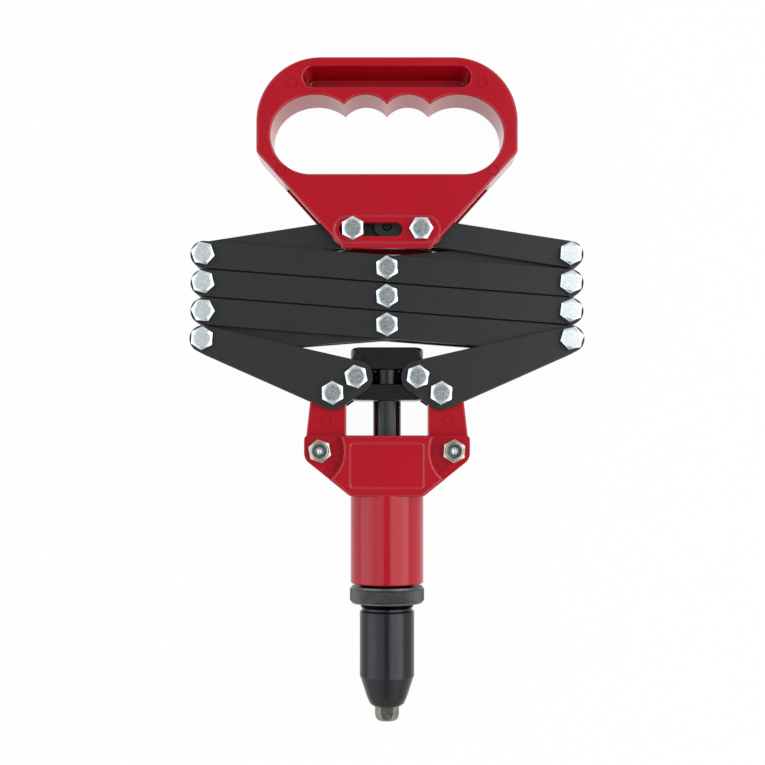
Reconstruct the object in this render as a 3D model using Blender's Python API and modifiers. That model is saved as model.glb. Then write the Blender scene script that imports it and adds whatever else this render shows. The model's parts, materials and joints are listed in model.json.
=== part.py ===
"""Lazy tong riveter, closed, lying flat on its back.

X runs across the tool, Y along it from the nose towards the handle, Z up from the
surface that it lies on. The origin is the middle of its outline, on that surface.
The mechanism is a double set of flat arms: every arm is a front plate and a rear
plate, laid out symmetrically about the tool's mid-plane at z = AXIS_HEIGHT.
"""

import math

import bpy
import bmesh
from mathutils import Matrix, Vector
from mathutils.geometry import convex_hull_2d

MM = 0.001
OBJECT_NAME = "lazy_tong_riveter"

# Fits between neighbouring pieces, in millimetres as all sizes here
FIT_GAP = 0.3
PIN_CLEARANCE = 0.3

# How far a cutter runs past the face it goes through
CUTTER_OVERRUN = 5.0

# Hexagon bolts and nuts
BOLT_DIAMETER = 6.0
HEX_ACROSS_FLATS = 10.0
BOLT_HEAD_HEIGHT = 4.0
NUT_HEIGHT = 5.0
BOLT_TIP = 0.8
HANDLE_BOLT_TIP = 0.2
HEX_CHAMFER = 0.7
LOCK_NUT_HEIGHT = 6.0
LOCK_NUT_COLLAR_HEIGHT = 1.9
LOCK_NUT_COLLAR_DIAMETER = 8.6
LOCK_NUT_CAVITY = 1.4

# Tong arms
ARM_HALF_LENGTH = 89.0
ARM_OPEN_ANGLE = 50.0
ARM_WIDTH = 13.0
ARM_GAP = 0.75
ARM_THICKNESS = 3.0
ARM_SPACER_HALF_LENGTH = 2.3
SPACER_DIAMETER = 10.0
TONG_CELLS = 3

# Top arms, which carry the handle
APEX_RISE = 13.8
APEX_PIN_DIAMETER = 4.0
APEX_HOLE_DIAMETER = 8.8
HANDLE_BOLT_SPREAD = 16.4

# Cranks, each a pair of three-cornered plates
CRANK_THICKNESS = 3.0
CRANK_TIP_DIAMETER = 13.0
CRANK_LOBE_DIAMETER = 16.0
CRANK_RISE = 26.2
GROOVE_PIN_IN = 11.25
GROOVE_PIN_UP = 7.8
FREE_PIN_DIAMETER = 5.0
STRUT_SWING = 5.0

# Struts between the yoke's ears and the cranks
EAR_PIVOT_X = 32.2
STRUT_LEAN = 6.1
STRUT_RISE = 28.0
STRUT_FOOT_RADIUS = 7.5
STRUT_INNER_EDGE_X = 19.9
STRUT_SHOULDER_RADIUS = 7.0
STRUT_SHOULDER_X = 30.4
STRUT_SHOULDER_UP = 22.6
STRUT_EDGE_ROUND = 0.8
STRUT_INNER_ROUND = 3.0

# Crosshead, a turned spool with two flats, and the spindle that it pulls
CROSSHEAD_DIAMETER = 35.5
CROSSHEAD_NECK_DIAMETER = 16.0
CROSSHEAD_GROOVE = 7.7
CROSSHEAD_GROOVE_OFFSET = 0.35
CROSSHEAD_TOP_BLOCK = 10.4
CROSSHEAD_FLANGE = 7.5
CROSSHEAD_ROUND = 1.6
SPINDLE_DIAMETER = 13.6
SPINDLE_SPIGOT_DIAMETER = 9.0
SPINDLE_SPIGOT_LENGTH = 9.0
SPINDLE_BORE = 5.0

# Yoke casting with its barrel
YOKE_TOP_ABOVE_PIVOT = 7.6
YOKE_HALF_WIDTH = 39.9
YOKE_HEIGHT = 29.4
YOKE_BLOCK_HALF_DEPTH = 18.2
EAR_THICKNESS = 3.8
EAR_CORNER_RADIUS = 6.0
EAR_CORNER_DROP = 0.9
EAR_TOP_RADIUS = 2.0
EAR_FACE_RADIUS = 17.1
EAR_FACE_OUTSET = 6.0
EAR_SLOT_RADIUS = 9.0
YOKE_WAIST_X = 24.0
YOKE_WAIST_DROP = 19.0
YOKE_WAIST_RADIUS = 3.0
YOKE_FOOT_X = 16.1
YOKE_FOOT_RADIUS = 4.0
YOKE_EDGE_ROUND = 1.4
PANEL_HALF_WIDTH = 17.0
PANEL_HEIGHT = 20.3
PANEL_BELOW_TOP = 4.4
PANEL_DEPTH = 0.6
PANEL_CORNER = 1.2
BARREL_DIAMETER = 35.8
BARREL_LENGTH = 42.8
BARREL_BORE = 22.0
BARREL_BORE_DEPTH = 40.0
BARREL_SOCKET_DEPTH = 20.0
BARREL_SUNK = 6.0

# Lock ring, nose housing and nosepiece
RING_DIAMETER = 36.6
RING_LENGTH = 9.1
RING_GAP = 1.3
RING_CHAMFER = 1.0
THREAD_DIAMETER = 26.2
THREAD_SHOWING = 2.7
HOUSING_DIAMETER = 26.8
HOUSING_LENGTH = 32.6
HOUSING_CONE_LENGTH = 8.4
HOUSING_CONE_DIAMETER = 20.4
HOUSING_TIP_LENGTH = 5.0
HOUSING_TIP_DIAMETER = 17.3
HOUSING_TIP_CHAMFER = 0.9
HOUSING_BORE = 20.6
HOUSING_SEAT_LENGTH = 7.0
HOUSING_SEAT_STEP = 1.0
NOSE_THREAD_DIAMETER = 8.0
NOSE_ACROSS_FLATS = 10.2
NOSE_ENVELOPE_SPARE = 0.2
NOSE_THREAD_SUNK = 2.0
NOSE_STRAIGHT = 3.4
NOSE_DOME = 3.6
NOSE_TIP_DIAMETER = 7.8
MANDREL_HOLE = 3.4

# Pulling parts inside the housing
JAW_CASE_DIAMETER = 19.6
JAW_CASE_LENGTH = 34.0
JAW_CASE_SPARE = 3.0
JAW_CASE_BORE = 13.0
JAW_CASE_MOUTH = 9.4
JAW_CASE_TAPER_LENGTH = 12.0
JAW_CASE_CHAMFER = 1.0
JAW_LENGTH = 11.0
JAW_COUNT = 3
JAW_SPLIT = 0.8
JAW_SET_BACK = 0.6
JAW_CLEARANCE = 0.48
PUSHER_LENGTH = 5.0
PUSHER_DIAMETER = 11.0
PUSHER_FLANGE = 2.0
SPRING_WIRE = 1.0
SPRING_DIAMETER = 9.0
SPRING_TURNS = 4
SPRING_STEPS = 9
SPINDLE_THREAD_IN_CASE = 8.0

# Handle casting
HANDLE_DEPTH = 26.0
HANDLE_HALF_WIDTH = 63.0
HANDLE_TOP_ABOVE_BOLTS = 83.2
HANDLE_BOTTOM_BELOW_BOLTS = 8.8
HANDLE_CORNER_RADIUS = 31.0
HANDLE_HIP_RADIUS = 4.0
HANDLE_HIP_ABOVE_BOLTS = 39.0
HANDLE_FOOT_X = 19.95
HANDLE_FOOT_RADIUS = 3.0
HANDLE_EDGE_ROUND = 2.6
HANDLE_SIDE_WALL = 6.8
OPENING_BOTTOM_ABOVE_BOLTS = 26.9
OPENING_END_RADIUS = 19.1
OPENING_CREST_INSET = 2.8
FINGER_PITCH = 20.6
FINGER_DEPTH = 4.8
FINGER_SHARPNESS = 1.6
CLEVIS_TOP_ABOVE_BOLTS = 20.6
BOSS_HALF_LENGTH = 26.0
BOSS_RADIUS = 7.0
BOSS_HEIGHT = 1.0
BOSS_SUNK = 2.0
SLOT_INNER_X = 4.1
SLOT_OUTER_X = 19.7
SLOT_HEIGHT = 6.7
TROUGH_END_WALL = 21.9
TROUGH_RADIUS = 5.25
TROUGH_BELOW_TOP = 9.55

# Facets on round pieces
HOLE_SIDES = 10
END_SIDES = 14
LOBE_SIDES = 20
TURNED_SIDES = 28
FINE_SIDES = 12
HANDLE_SIDES = 36
RIM_STEPS = 10
SLOT_STEPS = 8
FINGER_STEPS = 5
DOME_STEPS = 5
JAW_SIDES = 24

# Edges flatter than this are smooth, and ones sharper than that are rounded, in degrees
SMOOTH_ANGLE = 32
ROUNDED_ANGLE = 50


def sin_of(degrees):
    return math.sin(math.radians(degrees))


def cos_of(degrees):
    return math.cos(math.radians(degrees))


# Layers of the stack, counted from the mid-plane outwards
INNER_FROM = ARM_SPACER_HALF_LENGTH + FIT_GAP
INNER_TO = INNER_FROM + ARM_THICKNESS
OUTER_FROM = INNER_TO + FIT_GAP
OUTER_TO = OUTER_FROM + ARM_THICKNESS
CRANK_FROM = OUTER_TO + FIT_GAP
CRANK_TO = CRANK_FROM + CRANK_THICKNESS
EAR_TO = CRANK_FROM + EAR_THICKNESS
HANDLE_FACE = HANDLE_DEPTH / 2
AXIS_HEIGHT = HANDLE_FACE + FIT_GAP + NUT_HEIGHT + HANDLE_BOLT_TIP
HOLE_RADIUS = BOLT_DIAMETER / 2 + PIN_CLEARANCE

# Places of the pivots, measured from the ear pivots' line. At rest the arms of each
# layer lie side by side with a small gap, and that sets their angle
ARM_REST_ANGLE = math.degrees(math.asin((ARM_WIDTH + ARM_GAP) / (2 * ARM_HALF_LENGTH)))
ARM_SPAN_X = ARM_HALF_LENGTH * cos_of(ARM_REST_ANGLE)
ARM_STEP_Y = 2 * ARM_HALF_LENGTH * sin_of(ARM_REST_ANGLE)
STRUT_PIVOT = (EAR_PIVOT_X - STRUT_LEAN, STRUT_RISE)
GROOVE_PIVOT = (STRUT_PIVOT[0] - GROOVE_PIN_IN, STRUT_PIVOT[1] + GROOVE_PIN_UP)
CRANK_TIP = (ARM_SPAN_X, STRUT_PIVOT[1] + CRANK_RISE)
OUTER_PIVOT_Y = [CRANK_TIP[1] + ARM_STEP_Y * step for step in range(TONG_CELLS + 1)]
CENTRE_PIVOT_Y = [CRANK_TIP[1] + ARM_STEP_Y * (step + 0.5) for step in range(TONG_CELLS)]
APEX_Y = OUTER_PIVOT_Y[-1] + APEX_RISE
TOP_ARM_LENGTH = math.hypot(ARM_SPAN_X, APEX_RISE)
TOP_ARM_ANGLE = math.degrees(math.atan2(APEX_RISE, ARM_SPAN_X))
HANDLE_BOLT_ALONG = (ARM_SPAN_X - HANDLE_BOLT_SPREAD) / cos_of(TOP_ARM_ANGLE)
HANDLE_BOLT_Y = OUTER_PIVOT_Y[-1] + HANDLE_BOLT_ALONG * sin_of(TOP_ARM_ANGLE)

# Levels along the tool's axis, from the handle down to the tip of the nose
HANDLE_TOP_Y = HANDLE_BOLT_Y + HANDLE_TOP_ABOVE_BOLTS
HANDLE_BOTTOM_Y = HANDLE_BOLT_Y - HANDLE_BOTTOM_BELOW_BOLTS
GROOVE_TOP_Y = GROOVE_PIVOT[1] + CROSSHEAD_GROOVE / 2 + CROSSHEAD_GROOVE_OFFSET
GROOVE_BOTTOM_Y = GROOVE_TOP_Y - CROSSHEAD_GROOVE
CROSSHEAD_TOP_Y = GROOVE_TOP_Y + CROSSHEAD_TOP_BLOCK
CROSSHEAD_BOTTOM_Y = GROOVE_BOTTOM_Y - CROSSHEAD_FLANGE
YOKE_TOP_Y = YOKE_TOP_ABOVE_PIVOT
YOKE_BOTTOM_Y = YOKE_TOP_Y - YOKE_HEIGHT
BARREL_END_Y = YOKE_BOTTOM_Y - BARREL_LENGTH
RING_TOP_Y = BARREL_END_Y - RING_GAP
RING_BOTTOM_Y = RING_TOP_Y - RING_LENGTH
HOUSING_SHOULDER_Y = RING_BOTTOM_Y - THREAD_SHOWING
HOUSING_CONE_Y = HOUSING_SHOULDER_Y - HOUSING_LENGTH
HOUSING_TIP_Y = HOUSING_CONE_Y - HOUSING_CONE_LENGTH
HOUSING_END_Y = HOUSING_TIP_Y - HOUSING_TIP_LENGTH - HOUSING_TIP_CHAMFER
HOUSING_TOP_Y = BARREL_END_Y + BARREL_SOCKET_DEPTH - FIT_GAP
NOSE_TOP_Y = HOUSING_END_Y - FIT_GAP
NOSE_TIP_Y = NOSE_TOP_Y - NOSE_STRAIGHT - NOSE_DOME
SEAT_Y = HOUSING_END_Y + HOUSING_SEAT_LENGTH
MIDDLE_Y = (HANDLE_TOP_Y + NOSE_TIP_Y) / 2

STRUT_LENGTH = math.hypot(STRUT_LEAN, STRUT_RISE)
STRUT_ANGLE = math.degrees(math.atan2(STRUT_LEAN, STRUT_RISE))
CRANK_REACH = math.hypot(CRANK_TIP[0] - STRUT_PIVOT[0], CRANK_RISE)
CRANK_ANGLE = math.degrees(math.atan2(CRANK_RISE, CRANK_TIP[0] - STRUT_PIVOT[0]))
GROOVE_REACH = math.hypot(GROOVE_PIN_IN, GROOVE_PIN_UP)
GROOVE_ANGLE = math.degrees(math.atan2(GROOVE_PIN_UP, -GROOVE_PIN_IN))


def strut_pivot_at(share):
    """The right strut's upper pivot when the tongs are open by a share of their range."""
    angle = STRUT_ANGLE - STRUT_SWING * share
    return (EAR_PIVOT_X - STRUT_LENGTH * sin_of(angle), STRUT_LENGTH * cos_of(angle))


def arm_angle_at(share):
    return ARM_REST_ANGLE + (ARM_OPEN_ANGLE - ARM_REST_ANGLE) * share


# The crank turns far enough that it meets the arms again when they are fully open, and
# that turn pushes the crosshead forward by its stroke
OPEN_STRUT_PIVOT = strut_pivot_at(1.0)
OPEN_SPAN_X = ARM_HALF_LENGTH * cos_of(ARM_OPEN_ANGLE)
OPEN_CRANK_ANGLE = math.degrees(math.acos((OPEN_SPAN_X - OPEN_STRUT_PIVOT[0]) / CRANK_REACH))
CRANK_SWING = OPEN_CRANK_ANGLE - CRANK_ANGLE
CROSSHEAD_STROKE = (GROOVE_PIVOT[1] - OPEN_STRUT_PIVOT[1]
                    - GROOVE_REACH * sin_of(GROOVE_ANGLE + CRANK_SWING))
JAW_CASE_FRONT_Y = SEAT_Y + CROSSHEAD_STROKE + JAW_CASE_SPARE
JAW_CASE_TOP_Y = JAW_CASE_FRONT_Y + JAW_CASE_LENGTH


def circle(x, y, radius, sides):
    """Corners of a round outline."""
    return [(x + radius * math.cos(2 * math.pi * step / sides),
             y + radius * math.sin(2 * math.pi * step / sides)) for step in range(sides)]


def hull(circles, sides, corners=()):
    """The outline of a belt laid round some circles, given as x, y, radius, and corners."""
    points = [point for x, y, radius in circles for point in circle(x, y, radius, sides)]
    points += list(corners)
    order = convex_hull_2d([Vector(point) for point in points])
    return [points[index] for index in order]


def mirrored(circles):
    """The circles and their mirror images across the tool's axis."""
    return list(circles) + [(-x, y, radius) for x, y, radius in circles]


def evaluated_copy(obj):
    """A mesh of the object as its modifiers leave it."""
    depsgraph = bpy.context.evaluated_depsgraph_get()
    return bpy.data.meshes.new_from_object(obj.evaluated_get(depsgraph))


def discard(obj):
    data = obj.data
    bpy.data.objects.remove(obj)
    if isinstance(data, bpy.types.Mesh):
        bpy.data.meshes.remove(data)
    else:
        bpy.data.curves.remove(data)


def clean(mesh, flat=False):
    """Weld the mesh, point its faces outwards and bring it from millimetres to metres.

    A flat piece also gets whole faces in place of its fill of triangles, so that its
    edges can be rounded.
    """
    shape = bmesh.new()
    shape.from_mesh(mesh)
    bmesh.ops.remove_doubles(shape, verts=shape.verts, dist=0.001)
    if flat:
        bmesh.ops.dissolve_limit(shape, angle_limit=math.radians(1), verts=shape.verts,
                                 edges=shape.edges)
    bmesh.ops.recalc_face_normals(shape, faces=shape.faces)
    bmesh.ops.scale(shape, vec=(MM, MM, MM), verts=shape.verts)
    shape.to_mesh(mesh)
    shape.free()
    return mesh


def flat_mesh(outline, holes, thickness):
    """A flat plate about z = 0: a filled 2D curve with holes, turned into a mesh."""
    curve = bpy.data.curves.new("outline", "CURVE")
    curve.dimensions = "2D"
    curve.fill_mode = "BOTH"
    curve.extrude = thickness / 2
    for loop in [outline] + list(holes):
        spline = curve.splines.new("POLY")
        spline.points.add(len(loop) - 1)
        spline.use_cyclic_u = True
        for point, (x, y) in zip(spline.points, loop):
            point.co = (x, y, 0, 1)
    guide = bpy.data.objects.new("outline", curve)
    bpy.context.scene.collection.objects.link(guide)
    mesh = evaluated_copy(guide)
    discard(guide)
    return clean(mesh, flat=True)


def turned_object(name, profile, sides, closed):
    """A turned shape about local Z from (radius, z) points that run down its outer side."""
    mesh = bpy.data.meshes.new(name)
    points = [(radius * MM, 0.0, z * MM) for radius, z in profile]
    edges = [(index, index + 1) for index in range(len(points) - 1)]
    if closed:
        edges.append((len(points) - 1, 0))
    mesh.from_pydata(points, edges, [])
    obj = bpy.data.objects.new(name, mesh)
    screw = obj.modifiers.new("Turn", "SCREW")
    screw.axis = "Z"
    screw.steps = sides
    screw.render_steps = sides
    screw.use_merge_vertices = True
    screw.merge_threshold = 0.00001
    return obj


def turned_mesh(profile, sides, closed=False):
    """The finished mesh of a turned shape."""
    obj = turned_object("turning", profile, sides, closed)
    bpy.context.scene.collection.objects.link(obj)
    mesh = evaluated_copy(obj)
    discard(obj)
    return mesh


def arc(x, y, radius, start, end, steps):
    """Points on an arc, with its angles in degrees."""
    angles = [start + (end - start) * step / steps for step in range(steps + 1)]
    return [(x + radius * cos_of(angle), y + radius * sin_of(angle)) for angle in angles]


class Workshop:
    """The collections, the materials and the moving bodies' empties."""

    def __init__(self):
        self.parts = bpy.data.collections.new(OBJECT_NAME)
        self.cutters = bpy.data.collections.new("cutters")
        for collection in (self.parts, self.cutters):
            bpy.context.scene.collection.children.link(collection)
        self.materials = {}
        self.bodies = {}

    def material(self, name, colour, metallic, roughness):
        material = bpy.data.materials.new(name)
        material.use_nodes = True
        shader = material.node_tree.nodes["Principled BSDF"]
        shader.inputs["Base Color"].default_value = (*colour, 1.0)
        shader.inputs["Metallic"].default_value = metallic
        shader.inputs["Roughness"].default_value = roughness
        material.diffuse_color = (*colour, 1.0)
        self.materials[name] = material

    def body(self, name, parent, x, y):
        """An empty on a moving body's joint axis, under the body that carries it."""
        empty = bpy.data.objects.new("pivot_" + name, None)
        empty.empty_display_size = 0.01
        self.parts.objects.link(empty)
        place = Vector((x, y - MIDDLE_Y, AXIS_HEIGHT)) * MM
        empty.location = place
        if parent:
            empty.parent = self.bodies[parent][0]
            empty.location = place - self.bodies[parent][1]
        self.bodies[name] = (empty, place)

    def add(self, name, mesh, material, body, x=0.0, y=0.0, z=0.0, angle=0.0, along_y=False):
        """A piece of the object, at a place measured from the tool's ear line and mid-plane."""
        obj = bpy.data.objects.new(name, mesh)
        obj.data.materials.clear()
        obj.data.materials.append(self.materials[material])
        self.parts.objects.link(obj)
        empty, base = self.bodies[body]
        obj.parent = empty
        obj.location = Vector((x, y - MIDDLE_Y, AXIS_HEIGHT + z)) * MM - base
        obj.rotation_euler = (-math.pi / 2, 0.0, 0.0) if along_y else (0.0, 0.0, math.radians(angle))
        mesh.shade_smooth()
        mesh.set_sharp_from_angle(angle=math.radians(SMOOTH_ANGLE))
        return obj

    def tool(self, name, mesh, x=0.0, y=0.0, z=0.0, along_y=False, along_x=False):
        """A cutter or a joining shape, which is no piece itself."""
        obj = bpy.data.objects.new(name, mesh)
        obj.location = Vector((x, y - MIDDLE_Y, AXIS_HEIGHT + z)) * MM
        if along_y:
            obj.rotation_euler = (-math.pi / 2, 0.0, 0.0)
        if along_x:
            obj.rotation_euler = (0.0, math.pi / 2, 0.0)
        obj.hide_render = True
        obj.display_type = "WIRE"
        self.cutters.objects.link(obj)
        return obj


def combine(obj, other, operation):
    step = obj.modifiers.new(other.name, "BOOLEAN")
    step.operation = operation
    step.solver = "EXACT"
    step.object = other


def round_edges(obj, width, segments=2):
    bevel = obj.modifiers.new("Rounded edges", "BEVEL")
    bevel.width = width * MM
    bevel.segments = segments
    bevel.limit_method = "ANGLE"
    bevel.angle_limit = math.radians(ROUNDED_ANGLE)


def hexagonal_prism(across_flats, z_from, z_to):
    """A plain six-sided bar in millimetres."""
    shape = bmesh.new()
    radius = across_flats / math.sqrt(3)
    middle = Matrix.Translation((0, 0, (z_from + z_to) / 2))
    bmesh.ops.create_cone(shape, cap_ends=True, segments=6, radius1=radius, radius2=radius,
                          depth=z_to - z_from, matrix=middle)
    return shape


def hexagon(across_flats, height):
    """A bolt head or nut from z = 0 up, with its corners eased at the free end."""
    ease = HEX_CHAMFER / 2
    shape = hexagonal_prism(across_flats, 0.0, height - ease)
    top = [face for face in shape.faces if face.normal.z > 0.9]
    bmesh.ops.inset_region(shape, faces=top, thickness=HEX_CHAMFER, depth=ease)
    mesh = bpy.data.meshes.new("hexagon")
    shape.to_mesh(mesh)
    shape.free()
    return clean(mesh)


def template(mesh, other, operation, name):
    """The mesh of two shapes brought together with a Boolean modifier."""
    first = bpy.data.objects.new(name, mesh)
    second = bpy.data.objects.new(name + "_tool", other)
    for obj in (first, second):
        bpy.context.scene.collection.objects.link(obj)
    combine(first, second, operation)
    result = evaluated_copy(first)
    result.name = name
    discard(first)
    discard(second)
    return result


def rod(diameter, z_from, z_to, sides=HOLE_SIDES):
    """A solid round bar along local Z."""
    radius = diameter / 2
    return turned_mesh([(0.0, z_to), (radius, z_to), (radius, z_from), (0.0, z_from)], sides)


def shank(profile_radius, z_top, z_end, collars):
    """A round bar from z_top down to z_end with wider collars on it, each from high to low."""
    points = [(0.0, z_top), (profile_radius, z_top)]
    for high, low in collars:
        points += [(profile_radius, high), (SPACER_DIAMETER / 2, high),
                   (SPACER_DIAMETER / 2, low), (profile_radius, low)]
    points += [(profile_radius, z_end), (0.0, z_end)]
    return turned_mesh(points, HOLE_SIDES)


def bolt_mesh(name, face, tip, collars=(), nut_face=None, diameter=BOLT_DIAMETER):
    """A hexagon bolt along Z, its head on +face, its end at -tip, with what it clamps.

    The collars are the spacers between the plates. A nut_face adds the nut, tightened
    against the stack at that level behind the mid-plane.
    """
    head = hexagon(HEX_ACROSS_FLATS, BOLT_HEAD_HEIGHT)
    head.transform(Matrix.Translation((0, 0, face * MM)))
    core = shank(diameter / 2, face + BOLT_HEAD_HEIGHT / 2, -tip, collars)
    mesh = template(head, core, "UNION", name)
    if nut_face is None:
        return mesh
    nut = hexagon(HEX_ACROSS_FLATS, NUT_HEIGHT)
    nut.transform(Matrix.Rotation(math.pi, 4, "X"))
    nut.transform(Matrix.Translation((0, 0, -nut_face * MM)))
    return template(mesh, nut, "UNION", name)


def nut_mesh(name):
    """A plain hexagon nut from z = 0 down, seen from the rear."""
    body = hexagon(HEX_ACROSS_FLATS, NUT_HEIGHT)
    bore = rod(2 * HOLE_RADIUS, -CUTTER_OVERRUN, NUT_HEIGHT + CUTTER_OVERRUN)
    mesh = template(body, bore, "DIFFERENCE", name)
    mesh.transform(Matrix.Rotation(math.pi, 4, "X"))
    return mesh


def lock_nut_mesh():
    """A nut with a round collar that holds a nylon ring, from z = 0 up."""
    hex_height = LOCK_NUT_HEIGHT - LOCK_NUT_COLLAR_HEIGHT
    body = hexagon(HEX_ACROSS_FLATS, hex_height)
    collar = rod(LOCK_NUT_COLLAR_DIAMETER, hex_height / 2, LOCK_NUT_HEIGHT, FINE_SIDES)
    whole = template(body, collar, "UNION", "lock_nut_blank")
    bore = rod(2 * HOLE_RADIUS, -CUTTER_OVERRUN, LOCK_NUT_HEIGHT + CUTTER_OVERRUN)
    return template(whole, bore, "DIFFERENCE", "lock_nut")


def arm_outline(start, end, width=ARM_WIDTH):
    return hull([(start, 0.0, width / 2), (end, 0.0, width / 2)], END_SIDES)


def hole(x, y=0.0, radius=HOLE_RADIUS):
    return circle(x, y, radius, HOLE_SIDES)


def free_slot():
    """The opening in the lower falling arm round the right crank's pin.

    The cranks and the arms turn at a fixed ratio, so that pin leaves the arm's end a
    little and comes back to it as the tongs open. The opening is a belt round that path.
    """
    radius = FREE_PIN_DIAMETER / 2 + PIN_CLEARANCE
    stops = []
    for step in range(SLOT_STEPS + 1):
        share = step / SLOT_STEPS
        angle = arm_angle_at(share)
        crank_x = strut_pivot_at(share)[0] + CRANK_REACH * cos_of(CRANK_ANGLE + CRANK_SWING * share)
        apart = 2 * (ARM_HALF_LENGTH * cos_of(angle) - crank_x)
        stops.append((ARM_HALF_LENGTH - apart * cos_of(angle), -apart * sin_of(angle), radius))
    return hull(stops, HOLE_SIDES)


def add_pair(shop, name, mesh, material, body, x, y, z_from, z_to, angle):
    """A front plate and the rear plate that mirrors it."""
    middle = (z_from + z_to) / 2
    shop.add(name + "_front", mesh, material, body, x, y, middle, angle)
    shop.add(name + "_rear", mesh, material, body, x, y, -middle, angle)


def add_tong_arm(shop, name, body, centre_y, falling, pivot, free_end=False):
    """One arm of the lattice, with its origin on the pivot that carries it."""
    shift = pivot * ARM_HALF_LENGTH
    ends = (-ARM_HALF_LENGTH, ARM_HALF_LENGTH)
    holes = [hole(-ARM_HALF_LENGTH), hole(0.0)]
    holes.append(free_slot() if free_end else hole(ARM_HALF_LENGTH))
    outline = arm_outline(*ends)
    mesh = flat_mesh(outline, holes, ARM_THICKNESS)
    mesh.transform(Matrix.Translation((-shift * MM, 0, 0)))
    angle = -ARM_REST_ANGLE if falling else ARM_REST_ANGLE
    x = shift * cos_of(angle)
    y = centre_y + shift * sin_of(angle)
    layer = (OUTER_FROM, OUTER_TO) if falling else (INNER_FROM, INNER_TO)
    add_pair(shop, name, mesh, "satin_black_steel", body, x, y, *layer, angle)


def add_top_arm(shop, name, body, side, layer, apex_hole):
    """An arm from a top outer pivot to the apex under the handle; side is -1 left, 1 right."""
    holes = [hole(0.0), hole(HANDLE_BOLT_ALONG), hole(TOP_ARM_LENGTH, radius=apex_hole / 2)]
    mesh = flat_mesh(arm_outline(0.0, TOP_ARM_LENGTH), holes, ARM_THICKNESS)
    angle = TOP_ARM_ANGLE if side < 0 else 180.0 - TOP_ARM_ANGLE
    add_pair(shop, name, mesh, "satin_black_steel", body, side * ARM_SPAN_X, OUTER_PIVOT_Y[-1],
             *layer, angle)


def build_bodies(shop):
    """Empties on the joint axes, each under the body that carries it."""
    bottom, lower, upper, top = OUTER_PIVOT_Y
    centre_low, centre_mid, centre_high = CENTRE_PIVOT_Y
    shop.body("root", None, 0.0, MIDDLE_Y)
    shop.body("lock_ring", "root", 0.0, (RING_TOP_Y + RING_BOTTOM_Y) / 2)
    shop.body("spindle", "root", 0.0, GROOVE_PIVOT[1])
    for side, word in ((-1, "left"), (1, "right")):
        shop.body(word + "_strut", "root", side * EAR_PIVOT_X, 0.0)
        shop.body(word + "_crank", word + "_strut", side * STRUT_PIVOT[0], STRUT_PIVOT[1])
    shop.body("lower_rising_arm", "left_crank", -ARM_SPAN_X, bottom)
    shop.body("lower_falling_arm", "lower_rising_arm", 0.0, centre_low)
    shop.body("middle_falling_arm", "lower_rising_arm", ARM_SPAN_X, lower)
    shop.body("middle_rising_arm", "middle_falling_arm", 0.0, centre_mid)
    shop.body("upper_rising_arm", "middle_falling_arm", -ARM_SPAN_X, upper)
    shop.body("upper_falling_arm", "upper_rising_arm", 0.0, centre_high)
    shop.body("left_top_arm", "upper_falling_arm", -ARM_SPAN_X, top)
    shop.body("right_top_arm", "upper_rising_arm", ARM_SPAN_X, top)
    shop.body("handle", "right_top_arm", HANDLE_BOLT_SPREAD, HANDLE_BOLT_Y)


def build_tongs(shop):
    """The lattice: rising arms in the inner layer, falling arms in the outer layer."""
    low, mid, high = CENTRE_PIVOT_Y
    add_tong_arm(shop, "lower_rising_arm", "lower_rising_arm", low, False, -1)
    add_tong_arm(shop, "lower_falling_arm", "lower_falling_arm", low, True, 0, free_end=True)
    add_tong_arm(shop, "middle_falling_arm", "middle_falling_arm", mid, True, 1)
    add_tong_arm(shop, "middle_rising_arm", "middle_rising_arm", mid, False, 0)
    add_tong_arm(shop, "upper_rising_arm", "upper_rising_arm", high, False, -1)
    add_tong_arm(shop, "upper_falling_arm", "upper_falling_arm", high, True, 0)
    inner, outer = (INNER_FROM, INNER_TO), (OUTER_FROM, OUTER_TO)
    add_top_arm(shop, "left_top_arm", "left_top_arm", -1, inner, APEX_HOLE_DIAMETER)
    tight = APEX_PIN_DIAMETER + 2 * PIN_CLEARANCE
    add_top_arm(shop, "right_top_arm", "right_top_arm", 1, outer, tight)


def build_tong_bolts(shop):
    """The lattice's pivot bolts, each with its nut and spacer, on the arm that carries it."""
    lower, upper, top = OUTER_PIVOT_Y[1:]
    low, mid, high = CENTRE_PIVOT_Y
    seat = OUTER_TO + FIT_GAP
    middle_collar = [(ARM_SPACER_HALF_LENGTH, -ARM_SPACER_HALF_LENGTH)]
    mesh = bolt_mesh("tong_bolt", seat, seat + NUT_HEIGHT + BOLT_TIP, middle_collar, seat)
    pivots = (
        ("left_pivot_lower", "lower_falling_arm", -ARM_SPAN_X, lower),
        ("left_pivot_upper", "middle_falling_arm", -ARM_SPAN_X, upper),
        ("left_pivot_top", "upper_falling_arm", -ARM_SPAN_X, top),
        ("centre_pivot_lower", "lower_falling_arm", 0.0, low),
        ("centre_pivot_middle", "middle_falling_arm", 0.0, mid),
        ("centre_pivot_upper", "upper_falling_arm", 0.0, high),
        ("right_pivot_lower", "middle_falling_arm", ARM_SPAN_X, lower),
        ("right_pivot_upper", "upper_falling_arm", ARM_SPAN_X, upper),
        ("right_pivot_top", "right_top_arm", ARM_SPAN_X, top),
    )
    for name, body, x, y in pivots:
        shop.add(name, mesh, "zinc_plated_steel", body, x, y)


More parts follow.
